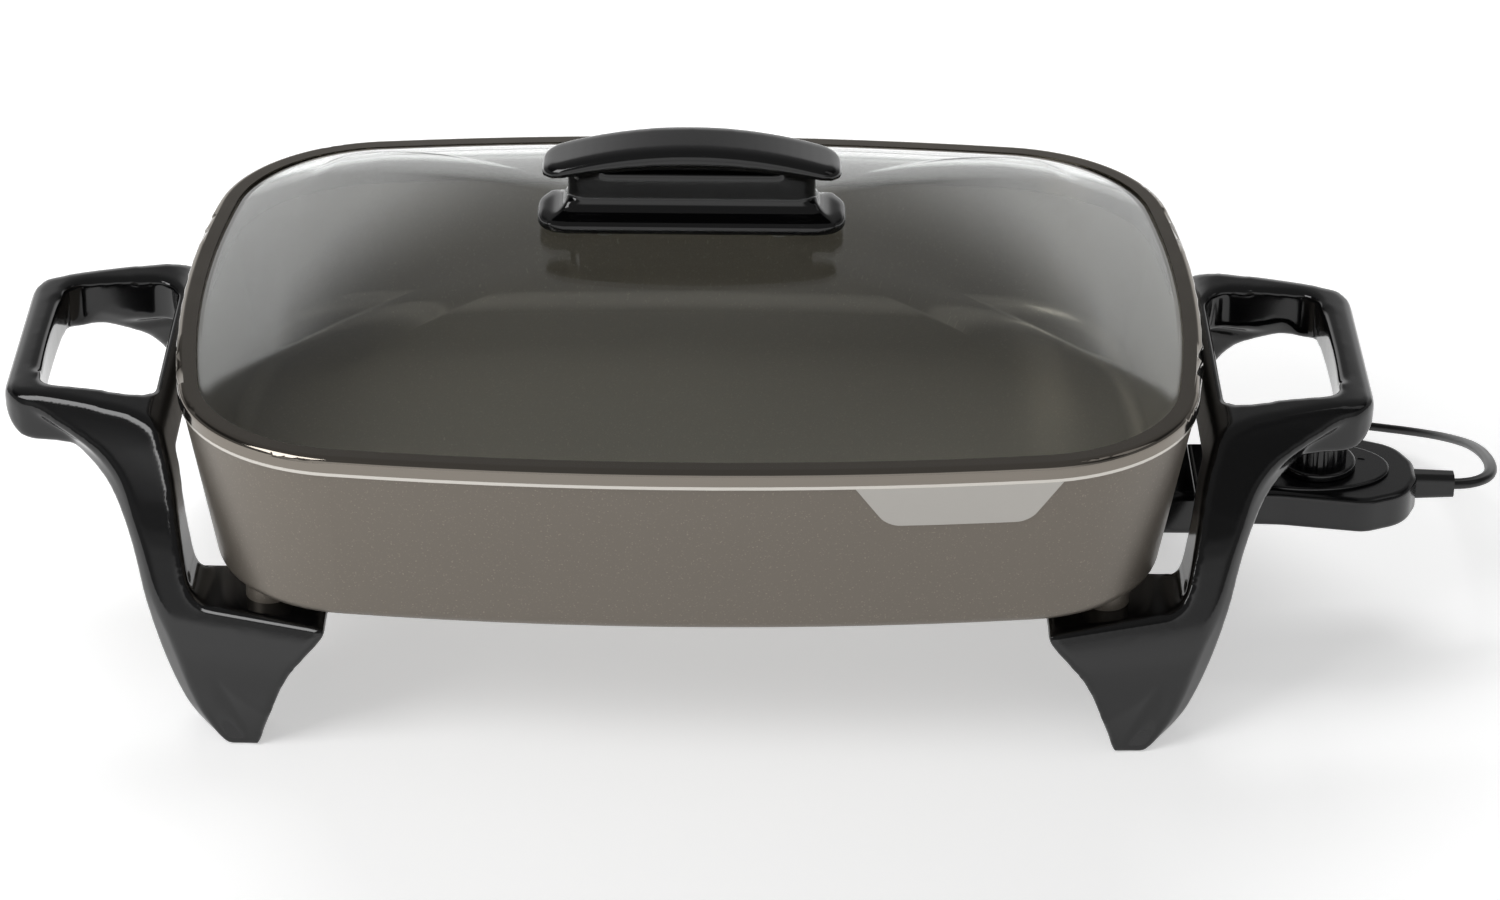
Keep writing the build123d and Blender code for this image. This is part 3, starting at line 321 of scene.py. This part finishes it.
# %% [markdown]
# ## The pan's coating
#
# The pan is cast aluminium under a ceramic nonstick coating: warm grey, with fine bright metal
# flakes in it that catch the light one by one, and the faint orange peel of a sprayed coat. The
# very edge of the rim is machined bare. A picture of a coating would stretch over the corners, so
# a cell texture gives the flakes, a noise gives the peel, and the bare edge is chosen by height.

# %% Nonstick coating
FLAKE_PITCH = 0.48           # mm; real flakes are much finer, too fine to show from here
FLAKE_THRESHOLD = 0.80       # about one cell in eleven is a flake
COAT_METALLIC = 0.55         # about half pigment, half metal
BARE_BAND = 1.55 * MM        # bare metal below the top of the rim
PEEL_PITCH = 1.6             # mm
MIX_A, MIX_B, MIXED = 6, 7, 2           # colour sockets of a Mix node: two inputs and the output
coating, coat_shader = new_material("ceramic_nonstick", Roughness=0.36, IOR=1.5)
place = add_node(coating, "ShaderNodeTexCoord")
flakes = add_node(coating, "ShaderNodeTexVoronoi", {"Scale": per_size(FLAKE_PITCH)},
                  {"Vector": place.outputs["Object"]})
flake_pick = add_node(coating, "ShaderNodeMapRange", {"From Min": FLAKE_THRESHOLD, "From Max": 1.0},
                      {"Value": flakes.outputs["Color"]})
flake_colour = add_node(coating, "ShaderNodeMix", {"data_type": "RGBA", MIX_A: linear("#7C756C"),
                                                   MIX_B: linear("#989085")},
                        {0: flake_pick.outputs[0]})
height = add_node(coating, "ShaderNodeSeparateXYZ", links={"Vector": place.outputs["Object"]})
bare = add_node(coating, "ShaderNodeMath", {"operation": "GREATER_THAN", 1: RIM_HEIGHT - BARE_BAND},
                {0: height.outputs["Z"]})
edge_colour = add_node(coating, "ShaderNodeMix", {"data_type": "RGBA", MIX_B: linear("#CFCBC4")},
                       {0: bare.outputs[0], MIX_A: flake_colour.outputs[MIXED]})
metal = add_node(coating, "ShaderNodeMapRange", {"To Min": COAT_METALLIC, "To Max": 1.0},
                 {"Value": bare.outputs[0]})
peel = add_node(coating, "ShaderNodeTexNoise", {"Scale": per_size(PEEL_PITCH), "Detail": 2.0},
                {"Vector": place.outputs["Object"]})
peel_bump = add_node(coating, "ShaderNodeBump", {"Strength": 0.10, "Distance": 0.05 * MM},
                     {"Height": peel.outputs["Fac"]})
coating.node_tree.links.new(edge_colour.outputs[MIXED], coat_shader.inputs["Base Color"])
coating.node_tree.links.new(metal.outputs[0], coat_shader.inputs["Metallic"])
coating.node_tree.links.new(peel_bump.outputs[0], coat_shader.inputs["Normal"])
dress(coating, "pan_body")
print("coating on", nodes["pan_body"].name)

# %% [markdown]
# ## Metals
#
# The lid's ring is polished stainless steel, the nameplate is brushed, the fasteners are zinc
# plated, the pins are nickel plated, and the contacts are brass with silver points. Brushed metal
# has long scratches in one direction. An anisotropic shader would only smear its highlight, and a
# noise stretched a hundred times along X draws the scratches themselves. On the ring a slow noise
# stands for the smears of handling.

# %% Brushed nameplate
SCRATCH_PITCH = 0.35         # mm; real scratches are finer, too fine to show from here
SCRATCH_STRETCH = 0.01       # a scratch is a hundred times longer than it is wide
brushed, brushed_shader = new_material("brushed_stainless", Base_Color=linear("#B4B1AC"), Metallic=1.0,
                                       Roughness=0.34)
place = add_node(brushed, "ShaderNodeTexCoord")
stretch = add_node(brushed, "ShaderNodeMapping", {"Scale": (SCRATCH_STRETCH, 1.0, 1.0)},
                   {"Vector": place.outputs["Object"]})
scratches = add_node(brushed, "ShaderNodeTexNoise", {"Scale": per_size(SCRATCH_PITCH), "Detail": 3.0},
                     {"Vector": stretch.outputs[0]})
rough = add_node(brushed, "ShaderNodeMapRange", {"To Min": 0.26, "To Max": 0.46},
                 {"Value": scratches.outputs["Fac"]})
scratch_bump = add_node(brushed, "ShaderNodeBump", {"Strength": 0.12, "Distance": 0.03 * MM},
                        {"Height": scratches.outputs["Fac"]})
brushed.node_tree.links.new(rough.outputs[0], brushed_shader.inputs["Roughness"])
brushed.node_tree.links.new(scratch_bump.outputs[0], brushed_shader.inputs["Normal"])
print("nameplate brushed along X")

# %% Polished steel ring
SMEAR_PITCH = 14             # mm
ring_steel, ring_shader = new_material("polished_stainless", Base_Color=linear("#827C74"), Metallic=1.0,
                                       Roughness=0.16)
place = add_node(ring_steel, "ShaderNodeTexCoord")
smears = add_node(ring_steel, "ShaderNodeTexNoise", {"Scale": per_size(SMEAR_PITCH), "Detail": 3.0},
                  {"Vector": place.outputs["Object"]})
rough = add_node(ring_steel, "ShaderNodeMapRange", {"To Min": 0.05, "To Max": 0.13},
                 {"Value": smears.outputs["Fac"]})
ring_steel.node_tree.links.new(rough.outputs[0], ring_shader.inputs["Roughness"])
dress(ring_steel, "lid_rim")
print("ring polished")

# %% Plain metals
GRAIN_PITCH = 2.5            # mm
# name, colour, roughness, nodes that wear it
PLAIN_METALS = [
    ("zinc_plate", "#A9AAA8", 0.32, ("guard_screws", "handle_screws", "handle_washers",
                                     "lid_handle_screws", "lid_handle_washers", "control_screws")),
    ("nickel_pin", "#B9B6AF", 0.24, ("terminal_pins", "probe_rod", "dial_spindle")),
    ("heater_sheath", "#57534E", 0.45, ("heating_element",)),
    ("spring_brass", "#B8965A", 0.28, ("terminal_sockets", "bimetal_strip", "contact_blades",
                                       "plug_blades")),
    ("silver_contact", "#D9D9D6", 0.2, ("contact_points",)),
]
for name, colour, roughness, wearers in PLAIN_METALS:
    metal_paint, metal_shader = new_material(name, Base_Color=linear(colour), Metallic=1.0,
                                             Roughness=roughness)
    place = add_node(metal_paint, "ShaderNodeTexCoord")
    grain = add_node(metal_paint, "ShaderNodeTexNoise", {"Scale": per_size(GRAIN_PITCH), "Detail": 4.0},
                     {"Vector": place.outputs["Object"]})
    rough = add_node(metal_paint, "ShaderNodeMapRange",
                     {"To Min": roughness - 0.08, "To Max": roughness + 0.1},
                     {"Value": grain.outputs["Fac"]})
    metal_paint.node_tree.links.new(rough.outputs[0], metal_shader.inputs["Roughness"])
    dress(metal_paint, *wearers)
print("plain metals:", len(PLAIN_METALS))

# %% [markdown]
# ## Black plastics
#
# The handles are moulded phenolic: hard, deep black and glossy, with a very faint orange peel.
# The heat control is a little less glossy. The cord, its relief and the plug are soft vinyl. All
# three are one recipe with other numbers, so a table and a loop make them: black, a typical
# plastic's IOR, and a fine noise for the peel, which breaks up the edges of reflections.

# %% Phenolic, control housing and vinyl
# name, colour, roughness, peel in mm, its strength, nodes that wear it
BLACK_PLASTICS = [
    ("glossy_phenolic", "#070708", 0.11, 2.2, 0.04, ("terminal_guard", "socket_block")),
    ("satin_thermoplastic", "#08080A", 0.2, 1.2, 0.05, ("control_upper_shell", "control_lower_shell",
                                                         "dial_knob", "dial_cam")),
    ("soft_vinyl", "#0B0B0C", 0.38, 0.8, 0.08, ("strain_relief", "plug_body", "lid_handle_gasket")),
]
for name, colour, roughness, peel_size, strength, wearers in BLACK_PLASTICS:
    plastic, plastic_shader = new_material(name, Base_Color=linear(colour), Roughness=roughness,
                                           IOR=1.55)
    place = add_node(plastic, "ShaderNodeTexCoord")
    peel = add_node(plastic, "ShaderNodeTexNoise", {"Scale": per_size(peel_size), "Detail": 2.0},
                    {"Vector": place.outputs["Object"]})
    peel_bump = add_node(plastic, "ShaderNodeBump", {"Strength": strength, "Distance": 0.04 * MM},
                         {"Height": peel.outputs["Fac"]})
    plastic.node_tree.links.new(peel_bump.outputs[0], plastic_shader.inputs["Normal"])
    dress(plastic, *wearers)
dress(bpy.data.materials["soft_vinyl"], "cord")
print("black plastics:", len(BLACK_PLASTICS))

# %% [markdown]
# ## Ceramic
#
# The beads that close the element's sheath and the base of the thermostat are steatite, a fired
# and unglazed ceramic: off-white, dull and slightly grainy. A millimetre noise as a bump is enough
# for pieces this small.

# %% Ceramic of the thermostat and the element's ends
CERAMIC_GRAIN = 1.0          # mm
ceramic, ceramic_shader = new_material("steatite_ceramic", Base_Color=linear("#DDD6C6"), Roughness=0.6)
place = add_node(ceramic, "ShaderNodeTexCoord")
speckle = add_node(ceramic, "ShaderNodeTexNoise", {"Scale": per_size(CERAMIC_GRAIN)},
                   {"Vector": place.outputs["Object"]})
speckle_bump = add_node(ceramic, "ShaderNodeBump", {"Strength": 0.2, "Distance": 0.05 * MM},
                        {"Height": speckle.outputs["Fac"]})
ceramic.node_tree.links.new(speckle_bump.outputs[0], ceramic_shader.inputs["Normal"])
dress(ceramic, "element_ends", "thermostat_base")
print("ceramic on the element's ends")

# %% [markdown]
# ## Glass
#
# The lid is clear tempered glass. A Principled shader with full transmission bends the light as
# glass does. Light from the lamps would hardly get through it to the pan, so a shadow ray meets
# a Transparent shader instead.

# %% Tempered glass
GLASS_TINT = linear("#F3F6F4")      # a trace of green
glass, glass_shader = new_material("tempered_glass", Base_Color=GLASS_TINT, Roughness=0.0, IOR=1.5,
                                   Transmission_Weight=1.0)
clear = add_node(glass, "ShaderNodeBsdfTransparent", {"Color": GLASS_TINT})
rays = add_node(glass, "ShaderNodeLightPath")
let_through = add_node(glass, "ShaderNodeMixShader", links={
    0: rays.outputs["Is Shadow Ray"], 1: glass_shader.outputs[0], 2: clear.outputs[0]})
glass_output = glass.node_tree.nodes["Material Output"]
glass.node_tree.links.new(let_through.outputs[0], glass_output.inputs["Surface"])
print("glass bends light by an index of", round(glass_shader.inputs["IOR"].default_value, 2))

# %% [markdown]
# ## The glass dome
#
# A pressed glass lid has no facets, and refraction shows every one. A subdivided box is smooth
# too, but its edge wouldn't follow the pan's. So the dome is drawn afresh at a fine pitch: a circle
# of points is moved onto the pan's outline, which is four bowed sides and four round corners, and
# extruded inwards ring by ring up a smooth profile. The rings near the edge are true offsets of
# the outline, and the ones over the crown are scaled copies.

# %% The pan's outline
HALF_LENGTH, HALF_WIDTH = 205.0 * MM, 153.6 * MM
LONG_RADIUS, SHORT_RADIUS, CORNER_RADIUS = 1107.0 * MM, 574.0 * MM, 72.0 * MM
long_drop = LONG_RADIUS - HALF_WIDTH
short_drop = SHORT_RADIUS - HALF_LENGTH
apart = math.hypot(long_drop, short_drop)
reach_long, reach_short = LONG_RADIUS - CORNER_RADIUS, SHORT_RADIUS - CORNER_RADIUS
along = (reach_long ** 2 - reach_short ** 2 + apart ** 2) / (2 * apart)
across = math.sqrt(reach_long ** 2 - along ** 2)
corner_x = (-along * short_drop + across * long_drop) / apart
corner_y = -long_drop + (along * long_drop + across * short_drop) / apart
LONG_ANGLE = math.atan2(corner_y + long_drop, corner_x)
SHORT_ANGLE = math.atan2(corner_y, corner_x + short_drop)


def outline_point(turn, inset):
    """Point of the outline, stepped in by inset, whose normal has this angle."""
    fold = abs((turn + math.pi / 2) % math.pi - math.pi / 2)
    if fold > LONG_ANGLE:
        x, y, radius = 0.0, -long_drop, LONG_RADIUS
    elif fold < SHORT_ANGLE:
        x, y, radius = -short_drop, 0.0, SHORT_RADIUS
    else:
        x, y, radius = corner_x, corner_y, CORNER_RADIUS
    x += (radius - inset) * math.cos(fold)
    y += (radius - inset) * math.sin(fold)
    return math.copysign(x, math.cos(turn)), math.copysign(y, math.sin(turn))


print("outline's ends:", [round(v, 4) for v in (*outline_point(0, 0), *outline_point(math.pi / 2, 0))])

# %% Glass dome
GLASS = 3.4 * MM
# inset from the outline, scale, height above the pan's rim
DOME = [(0.9, 1, 1.6), (0.9, 1, 3.4), (1.6, 1, 4.6), (3.0, 1, 5.2), (7.6, 1, 5.3), (9.0, 1, 6.0),
        (10.5, 1, 6.8), (13, 1, 8.1), (16, 1, 9.5), (20, 1, 11.3), (25, 1, 13.5), (31, 1, 16.0),
        (38, 1, 18.9), (46, 1, 22.0), (46, 0.89, 26.8), (46, 0.78, 30.6), (46, 0.66, 33.7), (46, 0.54, 35.9),
        (46, 0.42, 37.3), (46, 0.30, 38.1), (46, 0.18, 38.4), (46, 0.06, 38.4)]
DOME_STEPS = 220
SIDE_CROWDING = 0.17         # even angles would put most points in the corners; this moves some out
dome_shape = bmesh.new()
ring = bmesh.ops.create_circle(dome_shape, segments=DOME_STEPS, radius=1.0, cap_ends=False)["verts"]
edges = list(dome_shape.edges)
turns = [math.atan2(v.co.y, v.co.x) for v in ring]
turns = [t - SIDE_CROWDING * math.sin(4 * t) for t in turns]
for row, (inset, size, rise) in enumerate(DOME):
    if row:
        lifted = bmesh.ops.extrude_edge_only(dome_shape, edges=edges)["geom"]
        edges = [e for e in lifted if isinstance(e, bmesh.types.BMEdge)
                 and all(v in lifted for v in e.verts)]
        above = {}
        for edge in dome_shape.edges:
            for start, end in ((edge.verts[0], edge.verts[1]), (edge.verts[1], edge.verts[0])):
                if start in ring and end in lifted:
                    above[start] = end
        ring = [above[v] for v in ring]
    for vert, turn in zip(ring, turns):
        x, y = outline_point(turn, inset * MM)
        vert.co = (x * size, y * size, RIM_HEIGHT + rise * MM)
bmesh.ops.holes_fill(dome_shape, edges=edges, sides=DOME_STEPS)
bmesh.ops.recalc_face_normals(dome_shape, faces=dome_shape.faces)
for face in dome_shape.faces:
    face.smooth = True
dome_mesh = bpy.data.meshes.new("glass_dome")
dome_shape.to_mesh(dome_mesh)
dome_shape.free()
dome = bpy.data.objects.new("glass_dome", dome_mesh)
scene.collection.objects.link(dome)
wall = dome.modifiers.new("wall", "SOLIDIFY")
wall.thickness = GLASS
wall.offset = -1.0
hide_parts("lid_glass")
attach(dome, "lid")
dress(glass, "glass_dome")
print("dome faces:", len(dome_mesh.polygons))

# %% [markdown]
# ## The nameplate
#
# A plate as thin as this is blanked from sheet, so its lower corners are round, and it is bent to
# the wall it sits on. Projecting a flat plate onto the pan would copy the pan's facets, so the
# wall is measured at two heights and the plate is bent to a true arc. One face with four corners
# is enough to start from: a vertex bevel rounds the lower two, and cuts across it give it points
# to bend with.

# %% Measure the wall under the nameplate
def surface_of(node_name):
    """Search tree of a CAD node's surface, for rays and nearest points."""
    mesh = nodes[node_name].data
    return BVHTree.FromPolygons([v.co for v in mesh.vertices], [p.vertices for p in mesh.polygons])


PLATE_THICKNESS = 0.8 * MM
PLATE_TOP, PLATE_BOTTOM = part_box("nameplate")[1][2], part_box("nameplate")[0][2]
PLATE_MIDDLE = 100 * MM
pan_surface = surface_of("pan_body")
reaches = []
for z in (PLATE_BOTTOM, PLATE_TOP - 0.5 * MM):
    spot = pan_surface.ray_cast(Vector((PLATE_MIDDLE, -1, z)), Vector((0, 1, 0)))[0]
    reaches.append((z, math.hypot(spot.x, long_drop - spot.y)))
(low_z, low_reach), (high_z, high_reach) = reaches
print("the wall's reach at two heights:", [[round(v, 4) for v in row] for row in reaches])

# %% Cut out the nameplate
# millimetres along the wall and down it
PLATE_CORNERS = ((63.7, 0.0), (143.0, 0.0), (130.6, -18.2), (76.2, -18.0))
CORNER_ROUNDING = 5.0 * MM
# direction of the cuts, where they start and end, and into how many strips they part the plate
PLATE_CUTS = (((1, 0, 0), 64 * MM, 143 * MM, 20), ((0, 0, 1), PLATE_BOTTOM, PLATE_TOP, 5))
plate_shape = bmesh.new()
corners = [plate_shape.verts.new((x * MM, 0, PLATE_TOP + z * MM)) for x, z in PLATE_CORNERS]
plate_shape.faces.new(corners)
bmesh.ops.bevel(plate_shape, geom=corners[2:], offset=CORNER_ROUNDING, segments=8, profile=0.5,
                affect="VERTICES", material=-1)
for normal, start, end, strips in PLATE_CUTS:
    for cut in range(1, strips):
        everything = plate_shape.verts[:] + plate_shape.edges[:] + plate_shape.faces[:]
        bmesh.ops.bisect_plane(plate_shape, geom=everything, plane_no=normal,
                               plane_co=Vector(normal) * (start + (end - start) * cut / strips))
print("nameplate faces:", len(plate_shape.faces))

# %% Bend the nameplate to the wall
for vert in plate_shape.verts:
    share = (vert.co.z - low_z) / (high_z - low_z)
    reach = low_reach + (high_reach - low_reach) * share + PLATE_THICKNESS
    vert.co.y = long_drop - math.sqrt(reach ** 2 - vert.co.x ** 2)
for face in plate_shape.faces:
    face.normal_update()
    if face.normal.y > 0:
        face.normal_flip()
    face.smooth = True
plate_mesh = bpy.data.meshes.new("blank_nameplate")
plate_shape.to_mesh(plate_mesh)
plate_shape.free()
plate = bpy.data.objects.new("blank_nameplate", plate_mesh)
scene.collection.objects.link(plate)
sheet = plate.modifiers.new("sheet", "SOLIDIFY")
sheet.thickness = PLATE_THICKNESS
sheet.offset = -1.0
sheared = plate.modifiers.new("sheared_edge", "BEVEL")
sheared.width = 0.2 * MM
sheared.segments = 2
sheared.limit_method = "ANGLE"
sheared.harden_normals = True
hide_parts("nameplate")
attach(plate, "skillet")
dress(brushed, "blank_nameplate")
print("nameplate points:", len(plate_mesh.vertices))

# %% [markdown]
# ## Moulded handles
#
# A moulded handle has no sharp edge anywhere: each is rounded by a few millimetres, while its
# faces stay true. The CAD solid has the right faces with sharp edges, and a bevel is hard to keep
# clean where so many curved faces meet. So a voxel remesh gives it an even skin, smoothing rounds
# every edge, and then each point that is still close to the solid is put back on it: only the
# edges stay round.

# %% Round the edges of a moulding
HOLD_FADE = 0.7              # the pull back to the solid fades over this share of its range


def cad_shape(node_name):
    """A bmesh of a CAD node's shape, with its loose triangles joined up."""
    shape = bmesh.new()
    shape.from_mesh(nodes[node_name].data)
    bmesh.ops.remove_doubles(shape, verts=shape.verts, dist=0.001 * MM)
    return shape


def smooth_out(shape, rounds):
    """Moves every point of a bmesh halfway to its neighbours' middle, round after round."""
    for _ in range(rounds):
        bmesh.ops.smooth_vert(shape, verts=shape.verts, factor=0.5, use_axis_x=True, use_axis_y=True,
                              use_axis_z=True)


def even_skin(shape, piece_name, voxel):
    """Turns a bmesh into an object whose skin is remade of small even faces."""
    rough_mesh = bpy.data.meshes.new(piece_name)
    shape.to_mesh(rough_mesh)
    piece = bpy.data.objects.new(piece_name, rough_mesh)
    scene.collection.objects.link(piece)
    remesh = piece.modifiers.new("even_skin", "REMESH")
    remesh.mode = "VOXEL"
    remesh.voxel_size = voxel
    depsgraph = bpy.context.evaluated_depsgraph_get()
    even = bpy.data.meshes.new_from_object(piece.evaluated_get(depsgraph))
    piece.modifiers.clear()
    piece.data = even
    return piece


def soften(piece, surface, rounds, keep_within, last_rounds):
    """Smooths a piece, puts points near the surface back on it, and smooths it a little more."""
    shape = bmesh.new()
    shape.from_mesh(piece.data)
    smooth_out(shape, rounds)
    for vert in shape.verts:
        near, _, _, gap = surface.find_nearest(vert.co)
        hold = max(0.0, min(1.0, (keep_within - gap) / (HOLD_FADE * keep_within)))
        vert.co = vert.co.lerp(near, hold)
    smooth_out(shape, last_rounds)
    for face in shape.faces:
        face.smooth = True
    shape.to_mesh(piece.data)
    shape.free()
    print(piece.name, "faces:", len(piece.data.polygons))


# %% Handle and leg mouldings
TOE_HEIGHT = 30.0 * MM       # below this the toes curve forward and back
TOE_SPREAD = 6.0 * MM
TOE_TIP = 14.0 * MM          # and here their outer corner is rounded off
TOE_ROUNDING = 6.0 * MM
TOE_INSIDE = 172.0 * MM      # the rounding grows from here outwards
TOE_WIDTH = 18.0 * MM
HANDLE_VOXEL = 1.15 * MM
HANDLE_KEEP = 0.45 * MM      # points nearer to the solid than this go back onto it
for side in ("left", "right"):
    shape = cad_shape(side + "_handle_leg")
    surface = BVHTree.FromBMesh(shape)
    handle = even_skin(shape, side + "_handle_moulding", HANDLE_VOXEL)
    shape.free()
    soften(handle, surface, rounds=14, keep_within=HANDLE_KEEP, last_rounds=4)
    for vert in handle.data.vertices:
        low = max(0.0, 1 - vert.co.z / TOE_HEIGHT)
        vert.co.y += math.copysign(TOE_SPREAD * low * low, vert.co.y)
        corner = max(0.0, min(1.0, (abs(vert.co.x) - TOE_INSIDE) / TOE_WIDTH))
        tip = max(0.0, 1 - vert.co.z / TOE_TIP)
        vert.co.x -= math.copysign(TOE_ROUNDING * tip * tip * corner, vert.co.x)
    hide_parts(side + "_handle_leg")
    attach(handle, "skillet")
    dress(bpy.data.materials["glossy_phenolic"], handle.name)

# %% [markdown]
# ## The lid's handle
#
# The bridge handle of the lid is one moulding too: an oblong foot whose top sweeps up into the
# neck, and an arched grip. A concave skirt of bmesh extrusions is put round the neck before the
# remesh, which fuses the two. Then a smooth change of height lowers the grip, and the foot is
# spread a little from front to back.

# %% The skirt round the lid handle's neck
FOOT_TOP = 178.8 * MM
SKIRT_BASE = (116 * MM, 29 * MM, 2 * MM)
SKIRT_SUNK = 1.4 * MM
# width, depth and rise of each step of the skirt, in millimetres
SKIRT_STEPS = ((109, 24, 0.7), (104.5, 20, 1.4), (101.5, 17.6, 2.2), (100, 16.4, 3.4))
shape = cad_shape("lid_handle")
skirt = bmesh.ops.create_cube(shape, size=1.0)["verts"]
bmesh.ops.scale(shape, vec=SKIRT_BASE, verts=skirt)
bmesh.ops.translate(shape, vec=(0, 0, FOOT_TOP - SKIRT_SUNK), verts=skirt)
top_face = max({f for v in skirt for f in v.link_faces}, key=lambda f: f.calc_center_median().z)
for wide, deep, rise in SKIRT_STEPS:
    ring = bmesh.ops.extrude_face_region(shape, geom=[top_face])["geom"]
    raised = [v for v in ring if isinstance(v, bmesh.types.BMVert)]
    bmesh.ops.delete(shape, geom=[top_face], context="FACES_ONLY")
    top_face = [f for f in ring if isinstance(f, bmesh.types.BMFace)][0]
    for vert in raised:
        vert.co.x = math.copysign(wide / 2 * MM, vert.co.x)
        vert.co.y = math.copysign(deep / 2 * MM, vert.co.y)
    bmesh.ops.translate(shape, vec=(0, 0, rise * MM), verts=raised)
print("skirt's top at", round(top_face.calc_center_median().z, 4))

# %% Lid handle
GRIP_VOXEL = 0.75 * MM
GRIP_KEEP = 0.12 * MM
GRIP_DROP = 4.4 * MM
DROP_START, DROP_RUN = FOOT_TOP + 1 * MM, 14 * MM
FOOT_SPREAD = 0.14           # the foot is made this share deeper, from front to back
SPREAD_END, SPREAD_RUN = FOOT_TOP + 1.5 * MM, 3 * MM
surface = BVHTree.FromBMesh(shape)
lid_grip = even_skin(shape, "lid_handle_moulding", GRIP_VOXEL)
shape.free()
soften(lid_grip, surface, rounds=16, keep_within=GRIP_KEEP, last_rounds=8)
for vert in lid_grip.data.vertices:
    share = max(0.0, min(1.0, (vert.co.z - DROP_START) / DROP_RUN))
    spread = 1 + FOOT_SPREAD * max(0.0, min(1.0, (SPREAD_END - vert.co.z) / SPREAD_RUN))
    vert.co.z -= GRIP_DROP * share * share * (3 - 2 * share)
    vert.co.y *= spread
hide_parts("lid_handle")
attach(lid_grip, "lid")
dress(bpy.data.materials["glossy_phenolic"], lid_grip.name)
print("grip top at", round(max(v.co.z for v in lid_grip.data.vertices), 4))

# %% [markdown]
# ## The mark beside the dial
#
# A small raised triangle on the control's top, moulded in one with it, shows where the dial is
# read. Drawing it as paint would leave it flat. A circle of three points is a triangle: it is
# extruded by less than half a millimetre, turned towards the dial and set a little into the shell
# where a ray from above meets it.

# %% Pointer mark
MARK_PLACE = Vector((277.2 * MM, 5.8 * MM, 0.2))      # the ray comes down from here
MARK_RADIUS = 1.7 * MM
MARK_HEIGHT = 0.35 * MM
MARK_SUNK = 0.1 * MM
landing = surface_of("control_upper_shell").ray_cast(MARK_PLACE, Vector((0, 0, -1)))[0]
dial_low, dial_high = (Vector(corner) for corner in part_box("dial_knob"))
to_dial = (dial_low + dial_high) / 2 - landing
mark_shape = bmesh.new()
bmesh.ops.create_circle(mark_shape, cap_ends=True, segments=3, radius=MARK_RADIUS)
upper = bmesh.ops.extrude_face_region(mark_shape, geom=mark_shape.faces[:], use_keep_orig=True)["geom"]
bmesh.ops.translate(mark_shape, vec=(0, 0, MARK_HEIGHT + MARK_SUNK),
                    verts=[v for v in upper if isinstance(v, bmesh.types.BMVert)])
bmesh.ops.rotate(mark_shape, cent=(0, 0, 0), verts=mark_shape.verts,
                 matrix=Matrix.Rotation(math.atan2(to_dial.y, to_dial.x) - math.pi / 2, 3, "Z"))
bmesh.ops.translate(mark_shape, vec=landing - Vector((0, 0, MARK_SUNK)), verts=mark_shape.verts)
bmesh.ops.recalc_face_normals(mark_shape, faces=mark_shape.faces)
mark_mesh = bpy.data.meshes.new("pointer_mark")
mark_shape.to_mesh(mark_mesh)
mark_shape.free()
mark = bpy.data.objects.new("pointer_mark", mark_mesh)
scene.collection.objects.link(mark)
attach(mark, "control")
dress(bpy.data.materials["satin_thermoplastic"], "pointer_mark")
print("mark at", [round(v, 4) for v in landing])
